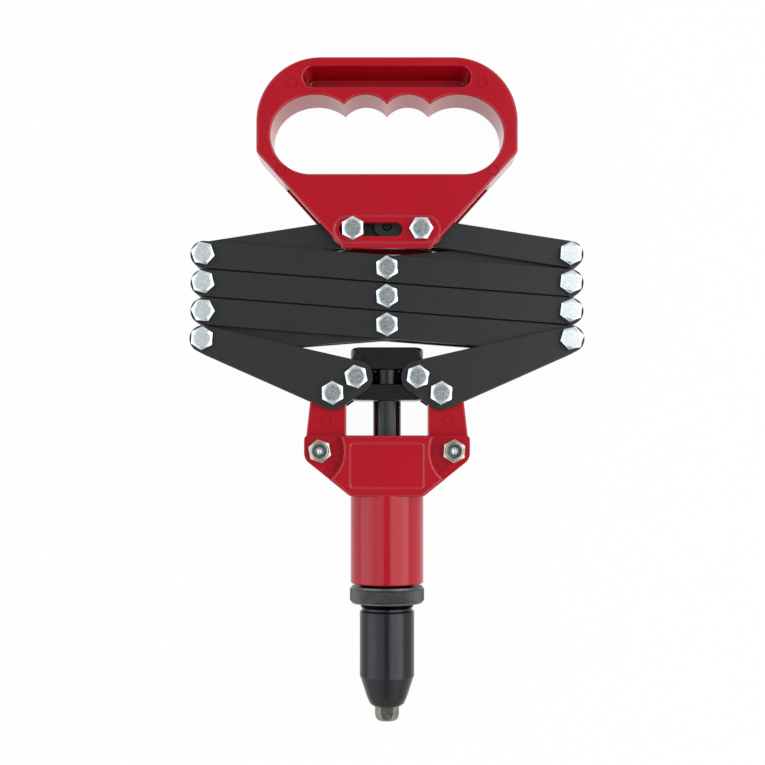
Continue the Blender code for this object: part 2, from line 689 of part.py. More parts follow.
def build_handle_bolts(shop):
    """The two bolts and nuts under the handle, and the pin at the top arms' apex."""
    front = HANDLE_FACE + BOSS_HEIGHT + FIT_GAP
    rear = HANDLE_FACE + FIT_GAP
    tip = rear + NUT_HEIGHT + HANDLE_BOLT_TIP
    right_collar = [(INNER_TO, -INNER_TO)]
    left_collars = [(OUTER_TO, OUTER_FROM), (ARM_SPACER_HALF_LENGTH, -ARM_SPACER_HALF_LENGTH),
                    (-OUTER_FROM, -OUTER_TO)]
    zinc = "zinc_plated_steel"
    nut = nut_mesh("handle_nut")
    for side, word, collars in ((-1, "left", left_collars), (1, "right", right_collar)):
        body = word + "_top_arm"
        x = side * HANDLE_BOLT_SPREAD
        bolt = bolt_mesh(word + "_handle_bolt", front, tip, collars)
        shop.add(word + "_handle_bolt", bolt, zinc, body, x, HANDLE_BOLT_Y)
        shop.add(word + "_handle_nut", nut, zinc, body, x, HANDLE_BOLT_Y, -rear)
    pin = rod(APEX_PIN_DIAMETER, -OUTER_TO, OUTER_TO)
    shop.add("apex_pin", pin, zinc, "right_top_arm", 0.0, APEX_Y)


def build_cranks(shop):
    """The black crank plates with their pivot bolts, left and right."""
    seat = CRANK_TO + FIT_GAP
    tip = seat + NUT_HEIGHT + BOLT_TIP
    plain = bolt_mesh("crank_bolt", seat, tip, (), seat)
    left_collars = [(OUTER_TO, OUTER_FROM), (ARM_SPACER_HALF_LENGTH, -ARM_SPACER_HALF_LENGTH),
                    (-OUTER_FROM, -OUTER_TO)]
    fitted = bolt_mesh("crank_end_bolt", seat, tip, left_collars, seat)
    free = bolt_mesh("free_end_bolt", seat, tip, [(INNER_TO, -INNER_TO)], seat, FREE_PIN_DIAMETER)
    zinc = "zinc_plated_steel"
    base_x, base_y = STRUT_PIVOT
    for side, word, end_bolt in ((-1, "left", fitted), (1, "right", free)):
        body = word + "_crank"
        end_hole = HOLE_RADIUS if side < 0 else FREE_PIN_DIAMETER / 2 + PIN_CLEARANCE
        end = (side * (CRANK_TIP[0] - base_x), CRANK_TIP[1] - base_y)
        groove = (side * (GROOVE_PIVOT[0] - base_x), GROOVE_PIVOT[1] - base_y)
        circles = [(0.0, 0.0, CRANK_LOBE_DIAMETER / 2), (*groove, CRANK_LOBE_DIAMETER / 2),
                   (*end, CRANK_TIP_DIAMETER / 2)]
        holes = [hole(0.0), hole(*groove), hole(*end, radius=end_hole)]
        mesh = flat_mesh(hull(circles, LOBE_SIDES), holes, CRANK_THICKNESS)
        add_pair(shop, body, mesh, "satin_black_steel", body, side * base_x, base_y,
                 CRANK_FROM, CRANK_TO, 0.0)
        shop.add(word + "_strut_bolt", plain, zinc, body, side * base_x, base_y)
        shop.add(word + "_groove_bolt", plain, zinc, body, side * GROOVE_PIVOT[0],
                 GROOVE_PIVOT[1])
        shop.add(word + "_pivot_bottom", end_bolt, zinc, body, side * CRANK_TIP[0], CRANK_TIP[1])


def build_struts(shop):
    """The red cast struts that tie the cranks to the yoke's ears."""
    for side, word in ((-1, "left"), (1, "right")):
        circles = [
            (-STRUT_LEAN, STRUT_RISE, EAR_PIVOT_X - STRUT_LEAN - STRUT_INNER_EDGE_X),
            (STRUT_SHOULDER_X - EAR_PIVOT_X, STRUT_SHOULDER_UP, STRUT_SHOULDER_RADIUS),
            (0.0, 0.0, STRUT_FOOT_RADIUS),
            (STRUT_INNER_EDGE_X + STRUT_INNER_ROUND - EAR_PIVOT_X, STRUT_INNER_ROUND,
             STRUT_INNER_ROUND),
        ]
        circles = [(side * x, y, radius) for x, y, radius in circles]
        holes = [hole(0.0), hole(-side * STRUT_LEAN, STRUT_RISE)]
        mesh = flat_mesh(hull(circles, LOBE_SIDES), holes, 2 * OUTER_TO)
        name = word + "_strut"
        strut = shop.add(name, mesh, "red_enamel", name, side * EAR_PIVOT_X, 0.0)
        round_edges(strut, STRUT_EDGE_ROUND, 1)


def build_crosshead(shop):
    """The black spool that the cranks pull, and the spindle down to the jaws."""
    radius = CROSSHEAD_DIAMETER / 2
    neck = CROSSHEAD_NECK_DIAMETER / 2
    base = GROOVE_PIVOT[1]
    top, bottom = CROSSHEAD_TOP_Y - base, CROSSHEAD_BOTTOM_Y - base
    groove_top, groove_bottom = GROOVE_TOP_Y - base, GROOVE_BOTTOM_Y - base
    ease = CROSSHEAD_ROUND
    profile = [(0.0, top), *reversed(arc(radius - ease, top - ease, ease, 0, 90, 3)),
               (radius, groove_top), (neck, groove_top), (neck, groove_bottom),
               (radius, groove_bottom), *reversed(arc(radius - ease, bottom + ease, ease, -90, 0, 3)),
               (0.0, bottom)]
    mesh = turned_mesh(profile, TURNED_SIDES)
    crosshead = shop.add("crosshead", mesh, "black_oxide_steel", "spindle", 0.0, base, along_y=True)
    flats = flat_mesh(hull([], 0, [(-radius * 2, -radius * 2), (radius * 2, -radius * 2),
                                   (radius * 2, radius * 2), (-radius * 2, radius * 2)]),
                      [], 2 * OUTER_TO)
    combine(crosshead, shop.tool("crosshead_flats", flats, 0.0, base), "INTERSECT")
    spigot_top = CROSSHEAD_BOTTOM_Y + SPINDLE_SPIGOT_LENGTH
    socket = rod(SPINDLE_SPIGOT_DIAMETER + 2 * FIT_GAP, CROSSHEAD_BOTTOM_Y - CUTTER_OVERRUN,
                 spigot_top + FIT_GAP, FINE_SIDES)
    combine(crosshead, shop.tool("crosshead_socket", socket, along_y=True), "DIFFERENCE")
    shoulder = CROSSHEAD_BOTTOM_Y - FIT_GAP
    end = JAW_CASE_TOP_Y - SPINDLE_THREAD_IN_CASE
    outer, spigot, bore = SPINDLE_DIAMETER / 2, SPINDLE_SPIGOT_DIAMETER / 2, SPINDLE_BORE / 2
    thread = JAW_CASE_BORE / 2 - FIT_GAP
    case_top = JAW_CASE_TOP_Y + FIT_GAP
    bore_top = CROSSHEAD_BOTTOM_Y - SPINDLE_SPIGOT_LENGTH
    profile = [(0.0, spigot_top), (spigot, spigot_top), (spigot, shoulder), (outer, shoulder),
               (outer, case_top), (thread, case_top), (thread, end), (bore, end),
               (bore, bore_top), (0.0, bore_top)]
    shop.add("spindle", turned_mesh(profile, TURNED_SIDES), "black_oxide_steel", "spindle",
             along_y=True)


def build_jaws(shop):
    """Jaw case, three jaws, jaw pusher and its spring, inside the nose housing."""
    outer, bore, mouth = JAW_CASE_DIAMETER / 2, JAW_CASE_BORE / 2, JAW_CASE_MOUTH / 2
    front, top = JAW_CASE_FRONT_Y, JAW_CASE_TOP_Y
    ease = JAW_CASE_CHAMFER
    profile = [(outer, top), (outer, front + ease), (outer - ease, front), (mouth, front),
               (bore, front + JAW_CASE_TAPER_LENGTH), (bore, top)]
    shop.add("jaw_case", turned_mesh(profile, LOBE_SIDES, closed=True), "black_oxide_steel",
             "spindle", along_y=True)
    taper = (bore - mouth) / JAW_CASE_TAPER_LENGTH
    jaw_front = front + JAW_SET_BACK
    jaw_back = jaw_front + JAW_LENGTH
    small = mouth + taper * JAW_SET_BACK - JAW_CLEARANCE
    large = small + taper * JAW_LENGTH
    hole_radius = MANDREL_HOLE / 2
    profile = [(large, jaw_back), (small, jaw_front), (hole_radius, jaw_front),
               (hole_radius, jaw_back)]
    whole = turned_mesh(profile, JAW_SIDES, closed=True)
    share = 360.0 / JAW_COUNT
    reach = 2 * JAW_CASE_DIAMETER
    for index in range(JAW_COUNT):
        turn = share * index
        inset = JAW_SPLIT / 2 / sin_of(share / 2)
        tip_x, tip_y = inset * cos_of(turn), inset * sin_of(turn)
        wedge = [(tip_x, tip_y)]
        for side in (-share / 2, 0.0, share / 2):
            wedge.append((tip_x + reach * cos_of(turn + side), tip_y + reach * sin_of(turn + side)))
        sector = flat_mesh(wedge, [], 4 * JAW_LENGTH)
        sector.transform(Matrix.Translation((0, 0, jaw_front * MM)))
        jaw = template(whole.copy(), sector, "INTERSECT", "jaw")
        shop.add("jaw_%d" % (index + 1), jaw, "bright_steel", "spindle", along_y=True)
    pusher_front = jaw_back + FIT_GAP
    pusher_back = pusher_front + PUSHER_LENGTH
    flange_back = pusher_front + PUSHER_FLANGE
    outer, flange = SPRING_DIAMETER / 2 - SPRING_WIRE - FIT_GAP, PUSHER_DIAMETER / 2
    profile = [(outer, pusher_back), (outer, flange_back), (flange, flange_back),
               (flange, pusher_front), (hole_radius, pusher_front), (hole_radius, pusher_back)]
    shop.add("jaw_pusher", turned_mesh(profile, FINE_SIDES, closed=True), "bright_steel",
             "spindle", along_y=True)
    spring_front = flange_back + FIT_GAP + SPRING_WIRE / 2
    spring_back = top - SPINDLE_THREAD_IN_CASE - FIT_GAP - SPRING_WIRE / 2
    add_spring(shop, spring_front, spring_back)


def add_spring(shop, y_from, y_to):
    """A compression spring from one level to another along the axis."""
    curve = bpy.data.curves.new("pusher_spring", "CURVE")
    curve.dimensions = "3D"
    curve.bevel_depth = SPRING_WIRE / 2
    curve.bevel_resolution = 1
    curve.use_fill_caps = True
    steps = SPRING_TURNS * SPRING_STEPS
    radius = (SPRING_DIAMETER - SPRING_WIRE) / 2
    spline = curve.splines.new("POLY")
    spline.points.add(steps)
    for index, point in enumerate(spline.points):
        angle = 2 * math.pi * SPRING_TURNS * index / steps
        z = y_from + (y_to - y_from) * index / steps
        point.co = (radius * math.cos(angle), radius * math.sin(angle), z, 1)
    guide = bpy.data.objects.new("pusher_spring_guide", curve)
    bpy.context.scene.collection.objects.link(guide)
    mesh = evaluated_copy(guide)
    discard(guide)
    shop.add("pusher_spring", clean(mesh), "bright_steel", "spindle", along_y=True)


def build_yoke(shop):
    """The red casting: a block with forked ears, and the barrel below it."""
    top, bottom = YOKE_TOP_Y, YOKE_BOTTOM_Y
    outline = hull(mirrored([
        (YOKE_HALF_WIDTH - EAR_TOP_RADIUS, top - EAR_TOP_RADIUS, EAR_TOP_RADIUS),
        (YOKE_HALF_WIDTH - EAR_CORNER_RADIUS, -EAR_CORNER_DROP, EAR_CORNER_RADIUS),
        (YOKE_WAIST_X, top - YOKE_WAIST_DROP, YOKE_WAIST_RADIUS),
        (YOKE_FOOT_X, bottom + YOKE_FOOT_RADIUS, YOKE_FOOT_RADIUS),
    ]), LOBE_SIDES)
    mesh = flat_mesh(outline, [], 2 * YOKE_BLOCK_HALF_DEPTH)
    yoke = shop.add("yoke", mesh, "red_enamel", "root")
    round_edges(yoke, YOKE_EDGE_ROUND)
    barrel = rod(BARREL_DIAMETER, BARREL_END_Y, bottom + BARREL_SUNK, TURNED_SIDES)
    combine(yoke, shop.tool("barrel", barrel, along_y=True), "UNION")
    for side, word in ((-1, "left"), (1, "right")):
        for face, which in ((1, "front"), (-1, "rear")):
            centre = side * (EAR_PIVOT_X + EAR_FACE_OUTSET)
            depth = YOKE_BLOCK_HALF_DEPTH
            disc = rod(2 * EAR_FACE_RADIUS, EAR_TO, EAR_TO + depth, TURNED_SIDES)
            if face < 0:
                disc.transform(Matrix.Rotation(math.pi, 4, "X"))
            cutter = shop.tool("%s_%s_ear_face" % (word, which), disc, centre, 0.0)
            combine(yoke, cutter, "DIFFERENCE")
        inner = STRUT_INNER_EDGE_X - FIT_GAP
        inner_x = side * (inner + STRUT_INNER_ROUND)
        far = 2 * YOKE_HALF_WIDTH
        slot = hull([(side * EAR_PIVOT_X, 0.0, EAR_SLOT_RADIUS),
                     (inner_x, STRUT_INNER_ROUND, STRUT_INNER_ROUND)], LOBE_SIDES,
                    [(side * inner, far), (side * far, far), (side * far, -EAR_SLOT_RADIUS)])
        gap = flat_mesh(slot, [], 2 * CRANK_FROM)
        combine(yoke, shop.tool(word + "_ear_slot", gap), "DIFFERENCE")
        bore = rod(2 * HOLE_RADIUS, -AXIS_HEIGHT, AXIS_HEIGHT)
        combine(yoke, shop.tool(word + "_ear_bore", bore, side * EAR_PIVOT_X), "DIFFERENCE")
    corner = PANEL_HALF_WIDTH - PANEL_CORNER
    panel_top = top - PANEL_BELOW_TOP
    panel = hull(mirrored([(corner, panel_top - PANEL_CORNER, PANEL_CORNER),
                           (corner, panel_top - PANEL_HEIGHT + PANEL_CORNER, PANEL_CORNER)]), FINE_SIDES)
    recess = flat_mesh(panel, [], 2 * PANEL_DEPTH)
    combine(yoke, shop.tool("panel_recess", recess, z=YOKE_BLOCK_HALF_DEPTH), "DIFFERENCE")
    spindle_bore = rod(SPINDLE_DIAMETER + 2 * FIT_GAP, BARREL_END_Y, top + CUTTER_OVERRUN, TURNED_SIDES)
    combine(yoke, shop.tool("spindle_bore", spindle_bore, along_y=True), "DIFFERENCE")
    socket = THREAD_DIAMETER / 2 + FIT_GAP
    step = BARREL_END_Y + BARREL_SOCKET_DEPTH
    inside = BARREL_END_Y + BARREL_BORE_DEPTH
    outside = BARREL_END_Y - CUTTER_OVERRUN
    profile = [(0.0, inside), (BARREL_BORE / 2, inside), (BARREL_BORE / 2, step), (socket, step),
               (socket, outside), (0.0, outside)]
    cavity = turned_mesh(profile, TURNED_SIDES)
    combine(yoke, shop.tool("barrel_cavity", cavity, along_y=True), "DIFFERENCE")


def build_ear_fasteners(shop):
    """Ear bolts put in from the rear, with lock nuts in front."""
    seat = EAR_TO + FIT_GAP
    bolt = bolt_mesh("ear_bolt", seat, seat + LOCK_NUT_HEIGHT - LOCK_NUT_CAVITY)
    bolt.transform(Matrix.Rotation(math.pi, 4, "X"))
    nut = lock_nut_mesh()
    for side, word in ((-1, "left"), (1, "right")):
        x = side * EAR_PIVOT_X
        shop.add(word + "_ear_bolt", bolt, "zinc_plated_steel", "root", x)
        shop.add(word + "_ear_lock_nut", nut, "zinc_plated_steel", "root", x, 0.0, seat)


def build_nose(shop):
    """The lock ring, the nose housing and the hexagonal nosepiece."""
    outer = RING_DIAMETER / 2
    inner = THREAD_DIAMETER / 2 + FIT_GAP
    middle = (RING_TOP_Y + RING_BOTTOM_Y) / 2
    half = RING_LENGTH / 2
    profile = [(outer - RING_CHAMFER, half), (outer, half - RING_CHAMFER),
               (outer, RING_CHAMFER - half), (outer - RING_CHAMFER, -half), (inner, -half),
               (inner, half)]
    shop.add("lock_ring", turned_mesh(profile, TURNED_SIDES, closed=True), "black_oxide_steel",
             "lock_ring", 0.0, middle, along_y=True)
    thread, housing = THREAD_DIAMETER / 2, HOUSING_DIAMETER / 2
    cone, tip = HOUSING_CONE_DIAMETER / 2, HOUSING_TIP_DIAMETER / 2
    bore, seat = HOUSING_BORE / 2, NOSE_THREAD_DIAMETER / 2 + FIT_GAP
    profile = [
        (thread, HOUSING_TOP_Y), (thread, HOUSING_SHOULDER_Y), (housing, HOUSING_SHOULDER_Y),
        (housing, HOUSING_CONE_Y), (cone, HOUSING_TIP_Y), (tip, HOUSING_TIP_Y - HOUSING_TIP_LENGTH),
        (tip - HOUSING_TIP_CHAMFER, HOUSING_END_Y), (seat, HOUSING_END_Y), (seat, SEAT_Y),
        (bore, SEAT_Y + HOUSING_SEAT_STEP), (bore, HOUSING_TOP_Y),
    ]
    shop.add("nose_housing", turned_mesh(profile, TURNED_SIDES, closed=True),
             "black_oxide_steel", "root", along_y=True)
    corner = NOSE_ACROSS_FLATS / math.sqrt(3) + NOSE_ENVELOPE_SPARE
    shape = hexagonal_prism(NOSE_ACROSS_FLATS, NOSE_TIP_Y - NOSE_TOP_Y, 0.0)
    mesh = bpy.data.meshes.new("nosepiece")
    shape.to_mesh(mesh)
    shape.free()
    nose = shop.add("nosepiece", clean(mesh), "bright_steel", "root", 0.0, NOSE_TOP_Y,
                    along_y=True)
    dome_from = NOSE_TOP_Y - NOSE_STRAIGHT
    end_radius = NOSE_TIP_DIAMETER / 2
    dome = []
    for step in range(DOME_STEPS + 1):
        turn = 90.0 * step / DOME_STEPS
        dome.append((end_radius + (corner - end_radius) * cos_of(turn),
                     dome_from - NOSE_DOME * sin_of(turn)))
    dome[-1] = (end_radius, NOSE_TIP_Y)
    above = NOSE_TOP_Y + CUTTER_OVERRUN
    profile = [(0.0, above), (corner, above), *dome, (0.0, NOSE_TIP_Y)]
    envelope = turned_mesh(profile, LOBE_SIDES)
    combine(nose, shop.tool("nose_envelope", envelope, along_y=True), "INTERSECT")
    spigot = rod(NOSE_THREAD_DIAMETER, NOSE_TOP_Y - NOSE_THREAD_SUNK, SEAT_Y, FINE_SIDES)
    combine(nose, shop.tool("nose_thread", spigot, along_y=True), "UNION")
    bore = rod(MANDREL_HOLE, NOSE_TIP_Y - CUTTER_OVERRUN, SEAT_Y + CUTTER_OVERRUN, FINE_SIDES)
    combine(nose, shop.tool("mandrel_hole", bore, along_y=True), "DIFFERENCE")


def finger_opening():
    """The hand hole: round ends, a flat bottom and four finger hollows along the top."""
    bottom = HANDLE_BOLT_Y + OPENING_BOTTOM_ABOVE_BOLTS
    radius = OPENING_END_RADIUS
    centre_x = HANDLE_HALF_WIDTH - HANDLE_SIDE_WALL - radius
    centre_y = bottom + radius
    crest = centre_y + radius
    crest_x = centre_x - OPENING_CREST_INSET
    stretch = (radius + OPENING_CREST_INSET) / radius
    right_end = arc(centre_x, centre_y, radius, -90, 0, RIM_STEPS // 2)
    for x, y in arc(0.0, centre_y, radius, 0, 90, RIM_STEPS // 2)[1:]:
        right_end.append((crest_x + stretch * x, y))
    cusp = FINGER_PITCH
    steps = FINGER_STEPS

    def finger(share):
        """How far into a finger hollow a place lies: 0 at a cusp, 1 at the hollow's crest."""
        return 1.0 - (1.0 - math.sin(math.pi * share / 2) ** 2) ** FINGER_SHARPNESS

    top = []
    for step in range(1, steps + 1):
        share = 1.0 - step / steps
        top.append((cusp + (crest_x - cusp) * share, crest - FINGER_DEPTH * (1 - finger(share))))
    for step in range(1, 2 * steps + 1):
        share = step / steps
        across = share if share <= 1.0 else 2.0 - share
        top.append((cusp * (1 - share / 2), crest - FINGER_DEPTH * (1 - finger(across))))
    half = right_end + top
    other_half = [(-x, y) for x, y in reversed(half[:-1])]
    return half + other_half


def build_handle(shop):
    """The red cast handle with its hand hole, clevis, slot and long trough."""
    bolts = HANDLE_BOLT_Y
    corner = HANDLE_CORNER_RADIUS
    outline = hull(mirrored([
        (HANDLE_HALF_WIDTH - corner, HANDLE_TOP_Y - corner, corner),
        (HANDLE_HALF_WIDTH - HANDLE_HIP_RADIUS, bolts + HANDLE_HIP_ABOVE_BOLTS, HANDLE_HIP_RADIUS),
        (HANDLE_FOOT_X, HANDLE_BOTTOM_Y + HANDLE_FOOT_RADIUS, HANDLE_FOOT_RADIUS),
    ]), HANDLE_SIDES)
    mesh = flat_mesh(outline, [finger_opening()], HANDLE_DEPTH)
    mesh.transform(Matrix.Translation((-HANDLE_BOLT_SPREAD * MM, -bolts * MM, 0)))
    handle = shop.add("handle", mesh, "red_enamel", "handle", HANDLE_BOLT_SPREAD, bolts)
    round_edges(handle, HANDLE_EDGE_ROUND)
    boss_end = BOSS_HALF_LENGTH - BOSS_RADIUS
    pill = hull([(-boss_end, bolts, BOSS_RADIUS), (boss_end, bolts, BOSS_RADIUS)], LOBE_SIDES)
    boss_depth = BOSS_HEIGHT + BOSS_SUNK
    boss = flat_mesh(pill, [], boss_depth)
    boss_z = HANDLE_FACE + BOSS_HEIGHT - boss_depth / 2
    combine(handle, shop.tool("front_boss", boss, z=boss_z), "UNION")
    clevis_top = bolts + CLEVIS_TOP_ABOVE_BOLTS
    clevis_bottom = HANDLE_BOTTOM_Y - HANDLE_EDGE_ROUND
    wide = 2 * HANDLE_HALF_WIDTH
    gap = flat_mesh([(-wide, clevis_bottom), (wide, clevis_bottom), (wide, clevis_top),
                     (-wide, clevis_top)], [], 2 * CRANK_FROM)
    combine(handle, shop.tool("clevis_gap", gap), "DIFFERENCE")
    slot_radius = SLOT_HEIGHT / 2
    slot = hull([(-SLOT_OUTER_X, bolts, slot_radius), (SLOT_INNER_X, bolts, slot_radius)],
                END_SIDES)
    combine(handle, shop.tool("slide_slot", flat_mesh(slot, [], 2 * HANDLE_DEPTH)), "DIFFERENCE")
    fixed = rod(2 * HOLE_RADIUS, -HANDLE_DEPTH, HANDLE_DEPTH)
    combine(handle, shop.tool("fixed_hole", fixed, HANDLE_BOLT_SPREAD, bolts), "DIFFERENCE")
    trough_half_length = HANDLE_HALF_WIDTH - TROUGH_END_WALL
    end = trough_half_length - TROUGH_RADIUS
    upper = arc(0.0, end, TROUGH_RADIUS, 90, 0, 4)
    lower = arc(0.0, -end, TROUGH_RADIUS, 0, -90, 4)
    profile = [(max(radius, 0.0), z) for radius, z in upper + lower]
    profile[0] = (0.0, trough_half_length)
    profile[-1] = (0.0, -trough_half_length)
    for face, word in ((1, "front"), (-1, "rear")):
        capsule = turned_mesh(profile, FINE_SIDES)
        cutter = shop.tool(word + "_trough", capsule, 0.0, HANDLE_TOP_Y - TROUGH_BELOW_TOP,
                           face * HANDLE_FACE, along_x=True)
        combine(handle, cutter, "DIFFERENCE")


def build():
    for obj in list(bpy.data.objects):
        bpy.data.objects.remove(obj)
    shop = Workshop()
    shop.material("red_enamel", (0.45, 0.02, 0.03), 0.0, 0.25)
    shop.material("satin_black_steel", (0.035, 0.036, 0.04), 0.0, 0.45)
    shop.material("zinc_plated_steel", (0.62, 0.66, 0.68), 1.0, 0.3)
    shop.material("black_oxide_steel", (0.02, 0.02, 0.022), 0.6, 0.35)
    shop.material("bright_steel", (0.55, 0.55, 0.5), 1.0, 0.3)
    build_bodies(shop)
    build_yoke(shop)
    build_ear_fasteners(shop)
    build_nose(shop)
    build_crosshead(shop)
    build_jaws(shop)
    build_struts(shop)
    build_cranks(shop)
    build_tongs(shop)
    build_tong_bolts(shop)
    build_handle_bolts(shop)
    build_handle(shop)


build()
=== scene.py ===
"""Looks of a lazy tong riveter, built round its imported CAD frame.

The tool lies on its back with its nose towards -Y and its front towards +Z. Sizes are
in metres. Places come from the frame's own nodes, so every piece sits where its solid is.
"""

import json
import math

import bpy
from bpy.props import FloatProperty, FloatVectorProperty, PointerProperty
from bpy.types import Operator, Panel, PropertyGroup
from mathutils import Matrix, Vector


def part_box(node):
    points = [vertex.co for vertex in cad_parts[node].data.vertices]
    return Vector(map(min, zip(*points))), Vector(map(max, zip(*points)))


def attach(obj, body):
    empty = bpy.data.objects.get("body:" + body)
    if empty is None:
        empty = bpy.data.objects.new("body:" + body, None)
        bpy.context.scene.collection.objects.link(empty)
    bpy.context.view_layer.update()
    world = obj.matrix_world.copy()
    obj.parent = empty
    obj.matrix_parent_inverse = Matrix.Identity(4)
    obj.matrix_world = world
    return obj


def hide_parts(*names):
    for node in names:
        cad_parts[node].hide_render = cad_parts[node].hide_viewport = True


bl_info = {
    "name": "Lazy tong riveter",
    "version": (1, 0, 0),
    "blender": (4, 5, 0),
    "location": "3D View > Sidebar > Riveter",
    "description": "Models and finishes the pieces of a lazy tong riveter round its CAD frame",
    "category": "Object",
}

MM = 0.001

# How far a cutter or a joined piece reaches past a face
PAST = 1.0 * MM

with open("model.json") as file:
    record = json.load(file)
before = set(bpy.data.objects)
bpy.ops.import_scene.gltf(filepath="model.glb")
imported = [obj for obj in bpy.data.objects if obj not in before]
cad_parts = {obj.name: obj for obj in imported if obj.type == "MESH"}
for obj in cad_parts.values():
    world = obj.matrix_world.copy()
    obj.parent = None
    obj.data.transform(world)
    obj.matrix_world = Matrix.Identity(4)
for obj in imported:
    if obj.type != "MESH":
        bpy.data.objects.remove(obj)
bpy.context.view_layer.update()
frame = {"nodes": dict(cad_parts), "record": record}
BODY_OF = {
    node: body
    for body, nodes in frame["record"]["behaviour"]["bodies"].items()
    for node in nodes
}

# Black plates
ARM_END_RADIUS = 6.5 * MM
CRANK_LOBE_RADIUS = 8.0 * MM
PIVOT_HOLE_RADIUS = 3.3 * MM
FREE_HOLE_RADIUS = 2.8 * MM
FREE_SLOT_SHIFT = (-1.6 * MM, 0.9 * MM)
APEX_HOLE_RADIUS = 4.4 * MM
APEX_PIN_RADIUS = 2.0 * MM

# Hexagon fasteners
HEX_ACROSS_FLATS = 10.0 * MM
HEAD_HEIGHT = 4.0 * MM
HEAD_FACE_RADIUS = 4.2 * MM
HEAD_DISH = 0.15 * MM
HEAD_RIM = 0.45 * MM
NUT_HEIGHT = 5.0 * MM
NUT_FACE_RADIUS = 4.5 * MM
NUT_SINK = 0.5 * MM
SHANK_RADIUS = 3.0 * MM
FREE_SHANK_RADIUS = 2.5 * MM
SPACER_RADIUS = 5.0 * MM
INNER_SPACER = (-2.3 * MM, 2.3 * MM)
FRONT_SPACER = (5.9 * MM, 8.9 * MM)
REAR_SPACER = (-8.9 * MM, -5.9 * MM)
WIDE_SPACER = (-5.6 * MM, 5.6 * MM)
FASTENER_EASE = (0.12 * MM, 1, 25)
BOLT_TIP = 0.8 * MM
FIT_GAP = 0.3 * MM
CHAMFER_SLOPE = math.tan(math.radians(27))
THREAD_PITCH = 1.0 * MM
THREAD_DEPTH = 0.35 * MM
LOCK_HEX_HEIGHT = 4.1 * MM
LOCK_COLLAR_RADIUS = 4.3 * MM
LOCK_COLLAR_ROUND = 0.6 * MM
LOCK_MOUTH_RADIUS = 3.6 * MM
LOCK_MOUTH_DEPTH = 1.7 * MM
NYLON_INNER_RADIUS = 3.05 * MM
NYLON_SET_BACK = 0.5 * MM
NYLON_HEIGHT = 1.1 * MM
NYLON_PLAY = 0.02 * MM
NYLON_LIP = 0.2 * MM
BOLT_END_RADIUS = 1.9 * MM
BOLT_END_LEVELS = (0.6 * MM, 1.0 * MM, 3.0 * MM)
BOLT_DIMPLE = (1.0 * MM, 1.2 * MM)

# Red castings
STRUT_FOOT_RADIUS = 7.5 * MM
STRUT_SHOULDER = (-1.8 * MM, 22.6 * MM, 7.0 * MM)
STRUT_FLANK = (34.2 * MM, 7.0 * MM, 5.0 * MM)
STRUT_INNER_ROUND = 3.0 * MM
EAR_HALF_DEPTH = 13.0 * MM
EAR_GAP_HALF = 9.2 * MM
EAR_FACE_RADIUS = 17.1 * MM
EAR_FACE_OUTSET = 6.0 * MM
EAR_SLOT_RADIUS = 9.0 * MM
EAR_CORNER = (0.9 * MM, 6.0 * MM)
EAR_TOP_RADIUS = 2.0 * MM
YOKE_HEIGHT = 29.4 * MM
YOKE_WAIST = (24.0 * MM, 19.0 * MM, 3.0 * MM)
YOKE_FOOT = (16.1 * MM, 4.0 * MM)
BARREL_RADIUS = 17.9 * MM
BARREL_ROOT = 6.0 * MM
BARREL_CHAMFER = 0.6 * MM
BARREL_BORE_RADIUS = 13.4 * MM
BARREL_BORE_DEPTH = 20.0 * MM
BARREL_STEP = (11.0 * MM, 40.0 * MM)
SPINDLE_HOLE_RADIUS = 7.1 * MM
PANEL_HALF_WIDTH = 17.0 * MM
PANEL_HEIGHT = 20.3 * MM
PANEL_BELOW_TOP = 4.4 * MM
PANEL_CORNER = 1.2 * MM
PANEL_DEPTH = 0.5 * MM
PANEL_SIDE_SLOPE = 0.6 * MM
PANEL_RIM = 1.1 * MM
PANEL_RIM_SLOPE = 0.4 * MM
PANEL_RIM_HEIGHT = 0.3 * MM
EAR_STEP_ROUND = 1.7 * MM
YOKE_MARK = (26.6 * MM, -7.0 * MM)
STRUT_MARK = (29.5 * MM, 14.8 * MM)
EJECTOR_RADII = (2.7 * MM, 1.9 * MM)
EJECTOR_DEPTH = 0.45 * MM

# Handle casting
HANDLE_HALF_DEPTH = 13.0 * MM
HANDLE_CORNER_RADIUS = 31.0 * MM
HANDLE_HIP = (3.0 * MM, 38.7 * MM)
HANDLE_FOOT = (19.95 * MM, 3.0 * MM)
HANDLE_SIDE_WALL = 6.8 * MM
OPENING_ABOVE_BOLTS = 26.9 * MM
OPENING_END_RADIUS = 19.1 * MM
OPENING_CREST_INSET = 2.8 * MM
FINGER_PITCH = 20.6 * MM
FINGER_DEPTH = 4.8 * MM
CLEVIS_ABOVE_BOLTS = 23.0 * MM
BOSS_HALF_LENGTH = 26.0 * MM
BOSS_RADIUS = 7.0 * MM
BOSS_HEIGHT = 1.0 * MM
BOSS_SLOPE = 1.2 * MM
SLOT_ENDS = (-19.7 * MM, 4.1 * MM)
SLOT_RADIUS = 3.35 * MM
TROUGH_END_WALL = 22.4 * MM
TROUGH_RADIUS = 5.25 * MM
TROUGH_FLOOR_RADIUS = 2.9 * MM
TROUGH_DEPTH = 16.7 * MM
TROUGH_FILLET = 1.0 * MM
TROUGH_MOUTH = (0.7 * MM, 0.35 * MM)
TROUGH_BELOW_TOP = 9.55 * MM
HANDLE_MARKS = ((45.6 * MM, 70.6 * MM), (51.1 * MM, 28.6 * MM))

